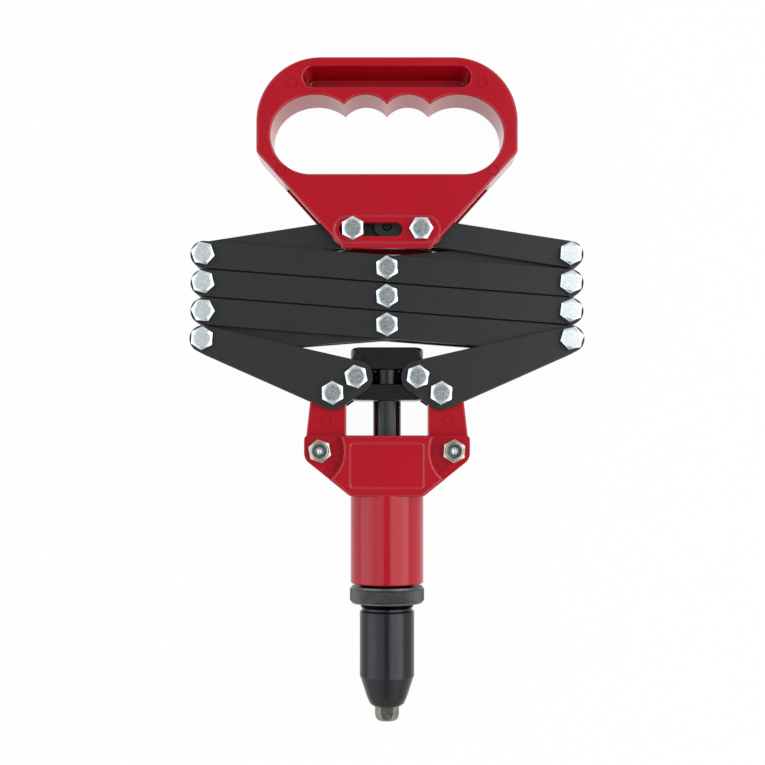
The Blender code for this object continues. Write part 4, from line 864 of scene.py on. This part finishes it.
class RIVETER_OT_nuts(Operator):
    """Model the handle's nuts, and the ear bolts with their nylon-ringed lock nuts"""

    bl_idname = "riveter.nuts"
    bl_label = "Handle and ear nuts"

    def ear_bolt(self, low, high):
        """An ear bolt about the origin: its dimpled end is up and its head down."""
        length = high - low
        dimple_radius, dimple_depth = BOLT_DIMPLE
        taper, full, root = BOLT_END_LEVELS
        head = dished_head(length - HEAD_HEIGHT, length)
        shank = drum(0.0, 0.0, full, length - HEAD_HEIGHT / 2, SHANK_RADIUS, HOLE_SIDES)
        end = upright([(0.0, dimple_depth), (dimple_radius, dimple_depth / 2),
                       (dimple_radius, 0.0), (BOLT_END_RADIUS, 0.0),
                       (SHANK_RADIUS - THREAD_DEPTH, taper), (SHANK_RADIUS, full),
                       (SHANK_RADIUS, root), (0.0, root)])
        bolt = joined([head, shank, end])
        edit_all(bolt)
        bpy.ops.transform.rotate(value=math.pi, orient_axis="X", center_override=(0.0, 0.0, 0.0))
        bpy.ops.object.mode_set(mode="OBJECT")
        bolt.location.z = high
        return settle(bolt)

    def lock_nut(self, low, high):
        """A lock nut about the origin, with the groove that its nylon ring sits in."""
        hex_top = low + LOCK_HEX_HEIGHT
        nut = hex_block(low, hex_top, NUT_FACE_RADIUS)
        outer, ease_radius = LOCK_COLLAR_RADIUS, LOCK_COLLAR_ROUND
        dome = arc(outer - ease_radius, high - ease_radius, ease_radius, 90, 0, 5)
        profile = [(0.0, high), *dome, (outer, hex_top - PAST), (0.0, hex_top - PAST)]
        combine(nut, upright(profile, sides=FINE_SIDES), "UNION")
        drill(nut, 0.0, 0.0, low, high, PIVOT_HOLE_RADIUS)
        combine(nut, drum(0.0, 0.0, high - LOCK_MOUTH_DEPTH, high + PAST, LOCK_MOUTH_RADIUS))
        return ease(nut, *FASTENER_EASE)

    def nylon(self, high):
        """The nylon ring about the origin, a closed collar with an eased lip."""
        outer, inner = LOCK_MOUTH_RADIUS - NYLON_PLAY, NYLON_INNER_RADIUS
        top = high - NYLON_SET_BACK
        bottom = top - NYLON_HEIGHT
        return upright([(outer, top), (outer, bottom), (inner, bottom), (inner, top - NYLON_LIP),
                        (inner + NYLON_LIP, top), (outer, top)])

    def execute(self, context):
        nuts = ["left_handle_nut", "right_handle_nut"]
        low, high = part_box(nuts[0])
        place_copies(ease(plain_nut(low.z, high.z, PIVOT_HOLE_RADIUS), *FASTENER_EASE), nuts, [12, 25])
        bolts = ["left_ear_bolt", "right_ear_bolt"]
        low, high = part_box(bolts[0])
        place_copies(self.ear_bolt(low.z, high.z), bolts, [18, 40])
        for word, turn in (("left", 11), ("right", -3)):
            node = word + "_ear_lock_nut"
            low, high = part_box(node)
            place_copies(self.lock_nut(low.z, high.z), [node], [turn], "dull_zinc")
            ring = self.nylon(high.z)
            ring.location = (*pivot(node), 0.0)
            smooth(settle(ring))
            ring.name = word + "_nylon_ring"
            ring.data.materials.append(finish("nylon"))
            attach(ring, BODY_OF[node])
        return {"FINISHED"}


class RIVETER_OT_struts(Operator):
    """Model the cast struts between the yoke's ears and the cranks"""

    bl_idname = "riveter.struts"
    bl_label = "Cast struts"

    def execute(self, context):
        sizes = context.scene.riveter_sizes
        for side, word in ((-1, "left"), (1, "right")):
            node = word + "_strut"
            low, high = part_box(node)
            foot, top = pivot(word + "_ear_lock_nut"), pivot(word + "_strut_bolt")
            shift_x, shift_y, shoulder = STRUT_SHOULDER
            flank_x, flank_y, flank = STRUT_FLANK
            inner_x = high.x if side < 0 else low.x
            circles = [
                (*foot, STRUT_FOOT_RADIUS),
                (*top, high.y - top.y),
                (foot.x + side * shift_x, foot.y + shift_y, shoulder),
                (inner_x + side * STRUT_INNER_ROUND, foot.y + STRUT_INNER_ROUND,
                 STRUT_INNER_ROUND),
                (side * flank_x, foot.y + flank_y, flank),
            ]
            strut = belt(circles, low.z, high.z)
            ease(strut, 2 * sizes.casting_ease, 3)
            for x, y in (foot, top):
                drill(strut, x, y, low.z, high.z, PIVOT_HOLE_RADIUS)
            mark_x, mark_up = STRUT_MARK
            ejector_mark(strut, side * mark_x, foot.y + mark_up, high.z)
            seat(strut, node, finish("enamel"))
        return {"FINISHED"}


class RIVETER_OT_yoke(Operator):
    """Model the yoke casting: its block, forked ears, bare panel and barrel"""

    bl_idname = "riveter.yoke"
    bl_label = "Yoke and barrel"

    def execute(self, context):
        sizes = context.scene.riveter_sizes
        low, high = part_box("yoke")
        top, bottom = high.y, high.y - YOKE_HEIGHT
        ear = pivot("right_ear_lock_nut")
        drop, corner = EAR_CORNER
        waist_x, waist_drop, waist_radius = YOKE_WAIST
        foot_x, foot_radius = YOKE_FOOT
        block = belt(both_sides([
            (high.x - EAR_TOP_RADIUS, top - EAR_TOP_RADIUS, EAR_TOP_RADIUS),
            (high.x - corner, ear.y - drop, corner),
            (waist_x, top - waist_drop, waist_radius),
            (foot_x, bottom + foot_radius, foot_radius),
        ]), low.z, high.z)
        ease(block, sizes.yoke_round, 4)
        barrel = spun([(0.0, bottom + BARREL_ROOT), (BARREL_RADIUS, bottom + BARREL_ROOT),
                       (BARREL_RADIUS, low.y + BARREL_CHAMFER),
                       (BARREL_RADIUS - BARREL_CHAMFER, low.y), (0.0, low.y)])
        combine(block, barrel, "UNION")
        for side in (-1, 1):
            centre = side * (ear.x + EAR_FACE_OUTSET)
            step = EAR_STEP_ROUND
            flare = [(EAR_FACE_RADIUS + step - x, high.z - AXIS_Z - step + y)
                     for x, y in arc(0.0, 0.0, step, 0, 86, 8)]
            profile = [(0.0, EAR_HALF_DEPTH), (EAR_FACE_RADIUS, EAR_HALF_DEPTH), *flare,
                       (flare[-1][0], flare[-1][1] + PAST), (0.0, flare[-1][1] + PAST)]
            for face in (1, -1):
                levels = [(radius, AXIS_Z + face * level) for radius, level in profile]
                combine(block, upright(levels, centre, ear.y, BROAD_SIDES))
            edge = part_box("right_strut")[0].x - FIT_GAP
            far = 2 * high.x
            slot = belt([(side * ear.x, ear.y, EAR_SLOT_RADIUS),
                         (side * (edge + STRUT_INNER_ROUND), ear.y + STRUT_INNER_ROUND,
                          STRUT_INNER_ROUND),
                         (side * (edge + STRUT_INNER_ROUND), ear.y + far, STRUT_INNER_ROUND),
                         (side * far, ear.y + far, STRUT_INNER_ROUND),
                         (side * far, ear.y, EAR_SLOT_RADIUS)],
                        AXIS_Z - EAR_GAP_HALF, AXIS_Z + EAR_GAP_HALF)
            combine(block, slot)
            combine(block, drum(side * ear.x, ear.y, 0.0, 2 * AXIS_Z, PIVOT_HOLE_RADIUS, HOLE_SIDES))
        panel_top = top - PANEL_BELOW_TOP
        inset = PANEL_HALF_WIDTH - PANEL_CORNER
        corners = both_sides([(inset, panel_top - PANEL_CORNER, PANEL_CORNER),
                              (inset, panel_top - PANEL_HEIGHT + PANEL_CORNER, PANEL_CORNER)])
        bead = [(x, y, radius + PANEL_RIM + PANEL_RIM_SLOPE) for x, y, radius in corners]
        combine(block, belt(bead, high.z - PANEL_RIM_HEIGHT, high.z + PANEL_RIM_HEIGHT, HOLE_SIDES,
                            -2 * PANEL_RIM_SLOPE), "UNION")
        recess = belt(corners, high.z - PANEL_DEPTH, high.z + PANEL_DEPTH, HOLE_SIDES,
                      2 * PANEL_SIDE_SLOPE)
        combine(block, recess)
        bore_end = low.y + BARREL_BORE_DEPTH
        step_radius, step_end = BARREL_STEP[0], low.y + BARREL_STEP[1]
        combine(block, spun([(0.0, low.y - PAST), (BARREL_BORE_RADIUS, low.y - PAST),
                             (BARREL_BORE_RADIUS, bore_end), (step_radius, bore_end),
                             (step_radius, step_end), (SPINDLE_HOLE_RADIUS, step_end),
                             (SPINDLE_HOLE_RADIUS, top + PAST), (0.0, top + PAST)]))
        mark_x, mark_up = YOKE_MARK
        for side in (-1, 1):
            ejector_mark(block, side * mark_x, ear.y + mark_up, AXIS_Z + EAR_HALF_DEPTH)
        ease(tidy_flats(block), sizes.casting_ease, 2, 35)
        seat(block, "yoke", finish("enamel"))
        return {"FINISHED"}


def hand_opening(half_width, bottom, grow):
    """The hand hole's outline, grown by a distance: round ends and four finger hollows."""
    radius = OPENING_END_RADIUS + grow
    centre_x, centre_y = half_width - OPENING_END_RADIUS, bottom + OPENING_END_RADIUS
    crest_x, crest = centre_x - OPENING_CREST_INSET, centre_y + OPENING_END_RADIUS
    half = arc(centre_x, centre_y, radius, -90, 0, 16)
    stretch = 1.0 + OPENING_CREST_INSET / radius
    half += [(crest_x + stretch * x, y) for x, y in arc(0.0, centre_y, radius, 0, 90, 16)[1:]]

    def hollow(span):
        """Radius of the arc that drops by the hollows' depth over half a span."""
        return (span ** 2 + FINGER_DEPTH ** 2) / (2 * FINGER_DEPTH)

    outer, inner = hollow(crest_x - FINGER_PITCH), hollow(FINGER_PITCH / 2)
    outer_y, inner_x, inner_y = crest - outer, FINGER_PITCH / 2, crest - inner
    gap = Vector((crest_x - inner_x, outer_y - inner_y))
    reach = (gap.length ** 2 + (inner + grow) ** 2 - (outer + grow) ** 2) / (2 * gap.length)
    rise = math.sqrt((inner + grow) ** 2 - reach ** 2)
    step = gap.normalized()
    cusp = Vector((inner_x, inner_y)) + step * reach + Vector((-step.y, step.x)) * rise
    low_turn = math.degrees(math.atan2(cusp.y - outer_y, cusp.x - crest_x))
    half += arc(crest_x, outer_y, outer + grow, 90, low_turn, 10)[1:]
    start = math.degrees(math.atan2(cusp.y - inner_y, cusp.x - inner_x))
    end = 180 - math.degrees(math.acos(inner_x / (inner + grow)))
    half += arc(inner_x, inner_y, inner + grow, start, end, 16)[1:]
    return half + [(-x, y) for x, y in reversed(half[:-1])]


class RIVETER_OT_handle(Operator):
    """Model the handle casting: hand hole, clevis, boss, slot and long trough"""

    bl_idname = "riveter.handle"
    bl_label = "Handle casting"

    def opening(self, half_width, back, front, rim):
        """The hand hole's cutter, flared at both faces so that it leaves a rounded rim."""
        turns = [math.radians(turn) for turn in (0, 15, 30, 45, 60, 75, 87)]
        flare = [(rim * (1 - math.cos(turn)), rim * math.sin(turn) - rim) for turn in turns]
        flare.append((flare[-1][0], PAST))
        levels = [(grow, back - rise) for grow, rise in reversed(flare)]
        levels += [(grow, front + rise) for grow, rise in flare]
        loops = []
        for grow, level in levels:
            outline = hand_opening(half_width - HANDLE_SIDE_WALL, BOLT_Y + OPENING_ABOVE_BOLTS, grow)
            loops.append(draw([(x, y, level) for x, y in outline], closed=True))
        cutter = joined(loops)
        edit_all(cutter)
        bpy.ops.mesh.select_mode(type="FACE")
        bpy.ops.mesh.select_all(action="SELECT")
        bpy.ops.mesh.delete(type="ONLY_FACE")
        bpy.ops.mesh.select_mode(type="EDGE")
        bpy.ops.mesh.select_all(action="SELECT")
        bpy.ops.mesh.bridge_edge_loops()
        bpy.ops.mesh.select_all(action="SELECT")
        bpy.ops.mesh.fill_holes(sides=0)
        bpy.ops.mesh.select_all(action="SELECT")
        bpy.ops.mesh.normals_make_consistent(inside=False)
        bpy.ops.mesh.select_mode(type="VERT")
        bpy.ops.object.mode_set(mode="OBJECT")
        return cutter

    def execute(self, context):
        sizes = context.scene.riveter_sizes
        low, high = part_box("handle")
        half_width, top = high.x, high.y
        back, front = AXIS_Z - HANDLE_HALF_DEPTH, AXIS_Z + HANDLE_HALF_DEPTH
        hip_radius, hip_up = HANDLE_HIP
        foot_x, foot_radius = HANDLE_FOOT
        casting = belt(both_sides([
            (half_width - HANDLE_CORNER_RADIUS, top - HANDLE_CORNER_RADIUS, HANDLE_CORNER_RADIUS),
            (half_width - hip_radius, BOLT_Y + hip_up, hip_radius),
            (foot_x, low.y + foot_radius, foot_radius),
        ]), back, front, HANDLE_SIDES)
        ease(casting, sizes.handle_round, 6)
        combine(casting, self.opening(half_width, back, front, sizes.handle_round))
        boss_end = BOSS_HALF_LENGTH - BOSS_RADIUS
        boss = belt([(x, BOLT_Y, BOSS_RADIUS + BOSS_SLOPE) for x in (-boss_end, boss_end)],
                    front - BOSS_HEIGHT, front + BOSS_HEIGHT, flare=-2 * BOSS_SLOPE)
        combine(casting, boss, "UNION")
        clevis = box_block((-2 * half_width, low.y - PAST, AXIS_Z - EAR_GAP_HALF),
                           (2 * half_width, BOLT_Y + CLEVIS_ABOVE_BOLTS, AXIS_Z + EAR_GAP_HALF))
        combine(casting, clevis)
        slot = belt([(x, BOLT_Y, SLOT_RADIUS) for x in SLOT_ENDS], back - PAST, front + 3 * PAST,
                    HOLE_SIDES)
        combine(casting, slot)
        hole_x = pivot("right_handle_bolt").x
        combine(casting, drum(hole_x, BOLT_Y, back - PAST, front + 3 * PAST, PIVOT_HOLE_RADIUS,
                              HOLE_SIDES))
        end_x = half_width - TROUGH_END_WALL - TROUGH_RADIUS
        draft = (TROUGH_RADIUS - TROUGH_FLOOR_RADIUS) / TROUGH_DEPTH
        trough = belt([(x, top - TROUGH_BELOW_TOP, TROUGH_FLOOR_RADIUS) for x in (-end_x, end_x)],
                      front - TROUGH_DEPTH, front + PAST, flare=draft * (TROUGH_DEPTH + PAST))
        combine(casting, ease(trough, TROUGH_FILLET, 3))
        flare, drop = TROUGH_MOUTH
        mouth = belt([(x, top - TROUGH_BELOW_TOP, TROUGH_RADIUS - flare) for x in (-end_x, end_x)],
                     front - 2 * drop, front + drop, flare=3 * flare)
        combine(casting, mouth)
        for mark_x, mark_up in HANDLE_MARKS:
            for side in (-1, 1):
                ejector_mark(casting, side * mark_x, BOLT_Y + mark_up, front)
        ease(tidy_flats(casting), sizes.casting_ease, 2, 35)
        seat(casting, "handle", finish("enamel"))
        return {"FINISHED"}


class RIVETER_OT_crosshead(Operator):
    """Model the grooved spool that the cranks push and pull"""

    bl_idname = "riveter.crosshead"
    bl_label = "Crosshead"

    def execute(self, context):
        low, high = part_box("crosshead")
        radius, round_off = high.x, CROSSHEAD_ROUND
        groove_top = high.y - CROSSHEAD_TOP_BLOCK
        groove_bottom = low.y + CROSSHEAD_FLANGE
        chamfer, neck = CROSSHEAD_CHAMFER, CROSSHEAD_NECK_RADIUS
        profile = [(0.0, high.y),
                   *arc(radius - round_off, high.y - round_off, round_off, 90, 0, 6),
                   (radius, groove_top + chamfer), (radius - chamfer, groove_top),
                   (neck + chamfer, groove_top), (neck, groove_top - chamfer),
                   (neck, groove_bottom + chamfer), (neck + chamfer, groove_bottom),
                   (radius - chamfer, groove_bottom), (radius, groove_bottom - chamfer),
                   *arc(radius - round_off, low.y + round_off, round_off, 0, -90, 6),
                   (0.0, low.y)]
        spool = spun(profile)
        reach = 2 * radius
        flats = box_block((-reach, low.y - PAST, AXIS_Z - CROSSHEAD_HALF_DEPTH),
                          (reach, high.y + PAST, AXIS_Z + CROSSHEAD_HALF_DEPTH))
        combine(spool, flats, "INTERSECT")
        ease(tidy_flats(spool), CROSSHEAD_EASE, 2, 35)
        seat(spool, "crosshead", finish("oxide"))
        return {"FINISHED"}


class RIVETER_OT_lock_ring(Operator):
    """Model the knurled lock ring at the barrel's end"""

    bl_idname = "riveter.lock_ring"
    bl_label = "Lock ring"

    def execute(self, context):
        sizes = context.scene.riveter_sizes
        low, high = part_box("lock_ring")
        outer, bottom = high.x, low.y + RING_TRIM
        band_low, band_high = bottom + RING_CHAMFER, high.y - RING_CHAMFER
        root = outer - sizes.knurl_depth
        around = 4 * round(math.pi * outer / sizes.knurl_pitch)
        rows = 2 * round((band_high - band_low) / sizes.knurl_pitch)
        band = spun([(root, band_high + (band_low - band_high) * row / rows)
                     for row in range(rows + 1)], around)
        edit_all(band)
        bpy.ops.mesh.unsubdivide(iterations=1)
        bpy.ops.mesh.select_all(action="SELECT")
        bpy.ops.mesh.poke(offset=sizes.knurl_depth)
        bpy.ops.object.mode_set(mode="OBJECT")
        inner = THREAD_RADIUS + FIT_GAP
        core = spun([(root, band_high), (outer - RING_CHAMFER, high.y), (inner, high.y),
                     (inner, bottom), (outer - RING_CHAMFER, bottom), (root, band_low)], around)
        ring = joined([band, core])
        edit_all(ring)
        bpy.ops.mesh.remove_doubles(threshold=SAME_RIM)
        bpy.ops.mesh.normals_make_consistent(inside=False)
        bpy.ops.object.mode_set(mode="OBJECT")
        seat(ring, "lock_ring", finish("knurled"))
        return {"FINISHED"}


class RIVETER_OT_nose(Operator):
    """Model the nose housing with its threaded neck, and the hexagonal nosepiece"""

    bl_idname = "riveter.nose"
    bl_label = "Nose housing and nosepiece"

    def housing(self):
        low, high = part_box("nose_housing")
        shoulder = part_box("lock_ring")[0].y - THREAD_SHOWING
        cone_radius, cone_length = HOUSING_CONE
        tip_radius, tip_length = HOUSING_TIP
        chamfer_in, chamfer_up = HOUSING_TIP_CHAMFER
        step_in, step_up = HOUSING_STEP
        seat_radius, seat_length = HOUSING_SEAT
        end, radius, chamfer = low.y, HOUSING_RADIUS, HOUSING_CHAMFER
        tip_y = end + chamfer_up
        cone_low = tip_y + tip_length
        cone_high = cone_low + cone_length
        bore_y = end + seat_length + HOUSING_BORE_CHAMFER
        mouth = (THREAD_RADIUS - NOSE_THREAD_LEAD, high.y)
        thread_root = THREAD_RADIUS - NOSE_THREAD_DEPTH
        profile = [mouth]
        level = high.y - NOSE_THREAD_LEAD
        while level > shoulder + NOSE_THREAD_END:
            profile += [(THREAD_RADIUS, level), (thread_root, level - NOSE_THREAD_PITCH / 2)]
            level -= NOSE_THREAD_PITCH
        profile += [
            (thread_root, shoulder), (radius - chamfer, shoulder),
            (radius, shoulder - chamfer), (radius, cone_high + step_up),
            (radius - step_in, cone_high), (cone_radius, cone_low), (tip_radius, tip_y),
            (tip_radius - chamfer_in, end), (seat_radius, end), (seat_radius, end + seat_length),
            (HOUSING_BORE_RADIUS, bore_y), (HOUSING_BORE_RADIUS, high.y), mouth,
        ]
        seat(spun(profile), "nose_housing", finish("oxide"))

    def nosepiece(self):
        low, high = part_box("nosepiece")
        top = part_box("nose_housing")[0].y - FIT_GAP
        corner = NOSE_ACROSS_FLATS / math.sqrt(3)
        blank = drum(0.0, 0.0, low.y, top, corner, 6)
        edit_all(blank)
        for turn, axis in ((math.pi / 6, "Z"), (math.pi / 2, "X")):
            bpy.ops.transform.rotate(value=turn, orient_axis=axis, center_override=(0.0, 0.0, 0.0))
        bpy.ops.object.mode_set(mode="OBJECT")
        levels = [vertex.co.y for vertex in blank.data.vertices]
        blank.location = (0.0, low.y - min(levels), AXIS_Z)
        settle(blank)
        dome_y = top - NOSE_STRAIGHT
        length = dome_y - low.y
        dome = [(NOSE_TIP_RADIUS + (corner - NOSE_TIP_RADIUS) * across, dome_y - length * along)
                for across, along in arc(0.0, 0.0, 1.0, 0, 90, 8)]
        profile = [(0.0, top + PAST), (corner, top + PAST), *dome, (0.0, low.y)]
        combine(blank, spun(profile), "INTERSECT")
        spigot = spun([(0.0, high.y), (SPIGOT_RADIUS - SPIGOT_CHAMFER, high.y),
                       (SPIGOT_RADIUS, high.y - SPIGOT_CHAMFER), (SPIGOT_RADIUS, top - PAST),
                       (0.0, top - PAST)], HOLE_SIDES)
        combine(blank, spigot, "UNION")
        combine(blank, spun([(0.0, high.y + PAST), (MANDREL_RADIUS, high.y + PAST),
                             (MANDREL_RADIUS, low.y + MANDREL_SINK),
                             (MANDREL_RADIUS + MANDREL_SINK + PAST, low.y - PAST),
                             (0.0, low.y - PAST)], HOLE_SIDES))
        ease(blank, *NOSE_EASE)
        seat(blank, "nosepiece", finish("bright"))

    def execute(self, context):
        self.housing()
        self.nosepiece()
        return {"FINISHED"}


class RIVETER_OT_inner_parts(Operator):
    """Give the spindle, jaws, case, spring and apex pin their steel finishes"""

    bl_idname = "riveter.inner_parts"
    bl_label = "Inner parts"

    def execute(self, context):
        finishes = {"spindle": "oxide", "jaw_case": "oxide", "jaw_1": "bright",
                    "jaw_2": "bright", "jaw_3": "bright", "jaw_pusher": "bright",
                    "pusher_spring": "bright", "apex_pin": "oxide"}
        for node, name in finishes.items():
            mesh = frame["nodes"][node].data
            mesh.materials.clear()
            mesh.materials.append(finish(name))
        return {"FINISHED"}


class RIVETER_PG_studio(PropertyGroup):
    """Lamps and sky of the photographer's table"""

    sky: FloatProperty(
        name="Sky", description="Strength of the even light from all round",
        default=0.25, min=0.0, max=2.0)
    ceiling: FloatProperty(
        name="Ceiling", description="Share of the sky's light that comes from straight above",
        default=0.3, min=0.0, max=1.0)
    key: FloatProperty(
        name="Key lamp", description="Power of the large lamp on the right",
        default=14.4, min=0.0, max=100.0, unit="POWER")
    fill: FloatProperty(
        name="Fill lamp", description="Power of the large lamp on the left",
        default=11.0, min=0.0, max=100.0, unit="POWER")


class RIVETER_OT_studio(Operator):
    """Set up the pale floor, the soft lamps, the sky and the camera"""

    bl_idname = "riveter.studio"
    bl_label = "Studio"

    def seen_by(self, tree, *rays):
        """1 where any of these kinds of ray looks, else 0."""
        path = add_node(tree, "ShaderNodeLightPath").outputs
        seen = path[rays[0]]
        for ray in rays[1:]:
            seen = add_node(tree, "ShaderNodeMath", operation="MAXIMUM", links={0: seen, 1: path[ray]})
        return seen

    def sky(self, strength, ceiling):
        """A white surround that is dimmer straight above, and lights the tool gently."""
        world = bpy.data.worlds.new("studio_sky")
        bpy.context.scene.world = world
        world.use_nodes = True
        tree = world.node_tree
        tree.nodes.clear()
        direction = add_node(tree, "ShaderNodeTexCoord").outputs["Generated"]
        height = add_node(tree, "ShaderNodeSeparateXYZ", links={"Vector": direction}).outputs["Z"]
        dome = add_node(tree, "ShaderNodeMapRange", interpolation_type="SMOOTHSTEP",
                        values={"From Min": SKY_FADE[0], "From Max": SKY_FADE[1], "To Min": 1.0,
                                "To Max": ceiling}, links={"Value": height})
        dimmed = add_node(tree, "ShaderNodeMath", operation="MULTIPLY", values={1: strength},
                          links={0: dome})
        light, white = [
            add_node(tree, "ShaderNodeBackground", values={"Color": WHITE},
                     links={"Strength": source}) for source in (dimmed, dome)]
        shown = self.seen_by(tree, "Is Camera Ray", "Is Glossy Ray", "Is Transmission Ray")
        mix = add_node(tree, "ShaderNodeMixShader", links={"Fac": shown, 1: light, 2: white})
        add_node(tree, "ShaderNodeOutputWorld", links={"Surface": mix})

    def floor(self):
        """A matt pale floor that keeps a faint shadow and looks white."""
        deselect()
        bpy.ops.mesh.primitive_plane_add(size=FLOOR_SIZE, location=(0.0, 0.0, 0.0))
        floor = bpy.context.object
        floor.name = "floor"
        material, tree, place = new_material("pale_studio_floor")
        grain = add_node(tree, "ShaderNodeTexNoise", links={"Vector": place},
                         values={"Scale": per(40 * MM), "Detail": 2.0})
        tone = add_node(tree, "ShaderNodeValToRGB", links={"Fac": grain},
                        stops=[(NOISE_LOW, linear("F2F2F2")), (NOISE_HIGH, linear("F7F7F7"))])
        matt = add_node(tree, "ShaderNodeBsdfDiffuse", links={"Color": tone})
        glow = add_node(tree, "ShaderNodeEmission", values={"Color": WHITE, "Strength": 1.0})
        seen = self.seen_by(tree, "Is Camera Ray", "Is Glossy Ray")
        share = add_node(tree, "ShaderNodeMath", operation="MULTIPLY", values={1: FLOOR_GLOW},
                         links={0: seen})
        mix = add_node(tree, "ShaderNodeMixShader", links={"Fac": share, 1: matt, 2: glow})
        floor.data.materials.append(surfaced(material, tree, mix))

    def lamp(self, name, tilt, half_span, power):
        """A long soft box beside the tool, which the camera doesn't see."""
        light = bpy.data.lights.new(name, "AREA")
        light.shape = "RECTANGLE"
        light.size = LAMP_LENGTH
        light.size_y = 2 * LAMP_DISTANCE * math.tan(math.radians(half_span))
        light.energy = power
        lean = math.radians(tilt)
        lamp = bpy.data.objects.new(name, light)
        bpy.context.scene.collection.objects.link(lamp)
        lamp.location = (LAMP_DISTANCE * math.sin(lean), 0.0, LAMP_DISTANCE * math.cos(lean))
        lamp.rotation_euler = (-lamp.location).to_track_quat("-Z", "Y").to_euler()
        lamp.visible_camera = False

    def camera(self):
        """The photograph's camera, straight above the tool with a small shift."""
        data = bpy.data.cameras.new("photograph")
        camera = bpy.data.objects.new("photograph", data)
        bpy.context.scene.collection.objects.link(camera)
        camera.location = (0.0, EAR_Y - CAMERA_BELOW_EARS, AXIS_Z + CAMERA_HEIGHT)
        data.sensor_width = SENSOR_WIDTH
        data.lens = SENSOR_WIDTH * CAMERA_HEIGHT / (IMAGE_PIXELS * MM_PER_PIXEL * MM)
        centre = IMAGE_PIXELS / 2
        data.shift_x = (centre - AXIS_PIXEL[0]) / IMAGE_PIXELS
        data.shift_y = (AXIS_PIXEL[1] - centre) / IMAGE_PIXELS
        data.clip_start, data.clip_end = CLIP
        bpy.context.scene.camera = camera

    def execute(self, context):
        studio = context.scene.riveter_studio
        self.sky(studio.sky, studio.ceiling)
        self.floor()
        self.lamp("key", *KEY_LAMP, studio.key)
        self.lamp("fill", *FILL_LAMP, studio.fill)
        self.camera()
        context.scene.view_settings.view_transform = "Standard"
        return {"FINISHED"}


STEPS = (
    RIVETER_OT_handle,
    RIVETER_OT_yoke,
    RIVETER_OT_struts,
    RIVETER_OT_arms,
    RIVETER_OT_cranks,
    RIVETER_OT_bolts,
    RIVETER_OT_nuts,
    RIVETER_OT_crosshead,
    RIVETER_OT_lock_ring,
    RIVETER_OT_nose,
    RIVETER_OT_inner_parts,
    RIVETER_OT_studio,
)


class RIVETER_PT_build(Panel):
    """Lists the build steps and the sizes and colours that they use"""

    bl_idname = "RIVETER_PT_build"
    bl_label = "Riveter"
    bl_space_type = "VIEW_3D"
    bl_region_type = "UI"
    bl_category = "Riveter"

    def draw(self, context):
        column = self.layout.column(align=True)
        for step in STEPS:
            column.operator(step.bl_idname)
        for group in ("riveter_sizes", "riveter_colours", "riveter_studio"):
            settings = getattr(context.scene, group)
            fields = self.layout.column()
            for name in settings.bl_rna.properties.keys():
                if name not in ("rna_type", "name"):
                    fields.prop(settings, name)


GROUPS = {
    "riveter_sizes": RIVETER_PG_sizes,
    "riveter_colours": RIVETER_PG_colours,
    "riveter_studio": RIVETER_PG_studio,
}


def register():
    for group in GROUPS.values():
        bpy.utils.register_class(group)
    for step in STEPS:
        bpy.utils.register_class(step)
    bpy.utils.register_class(RIVETER_PT_build)
    for name, group in GROUPS.items():
        setattr(bpy.types.Scene, name, PointerProperty(type=group))


def unregister():
    for name in GROUPS:
        delattr(bpy.types.Scene, name)
    bpy.utils.unregister_class(RIVETER_PT_build)
    for step in reversed(STEPS):
        bpy.utils.unregister_class(step)
    for group in reversed(list(GROUPS.values())):
        bpy.utils.unregister_class(group)


def main():
    register()
    bpy.ops.riveter.handle()
    bpy.ops.riveter.yoke()
    bpy.ops.riveter.struts()
    bpy.ops.riveter.arms()
    bpy.ops.riveter.cranks()
    bpy.ops.riveter.bolts()
    bpy.ops.riveter.nuts()
    bpy.ops.riveter.crosshead()
    bpy.ops.riveter.lock_ring()
    bpy.ops.riveter.nose()
    bpy.ops.riveter.inner_parts()
    bpy.ops.riveter.studio()
    deselect()


if __name__ == "__main__":
    main()
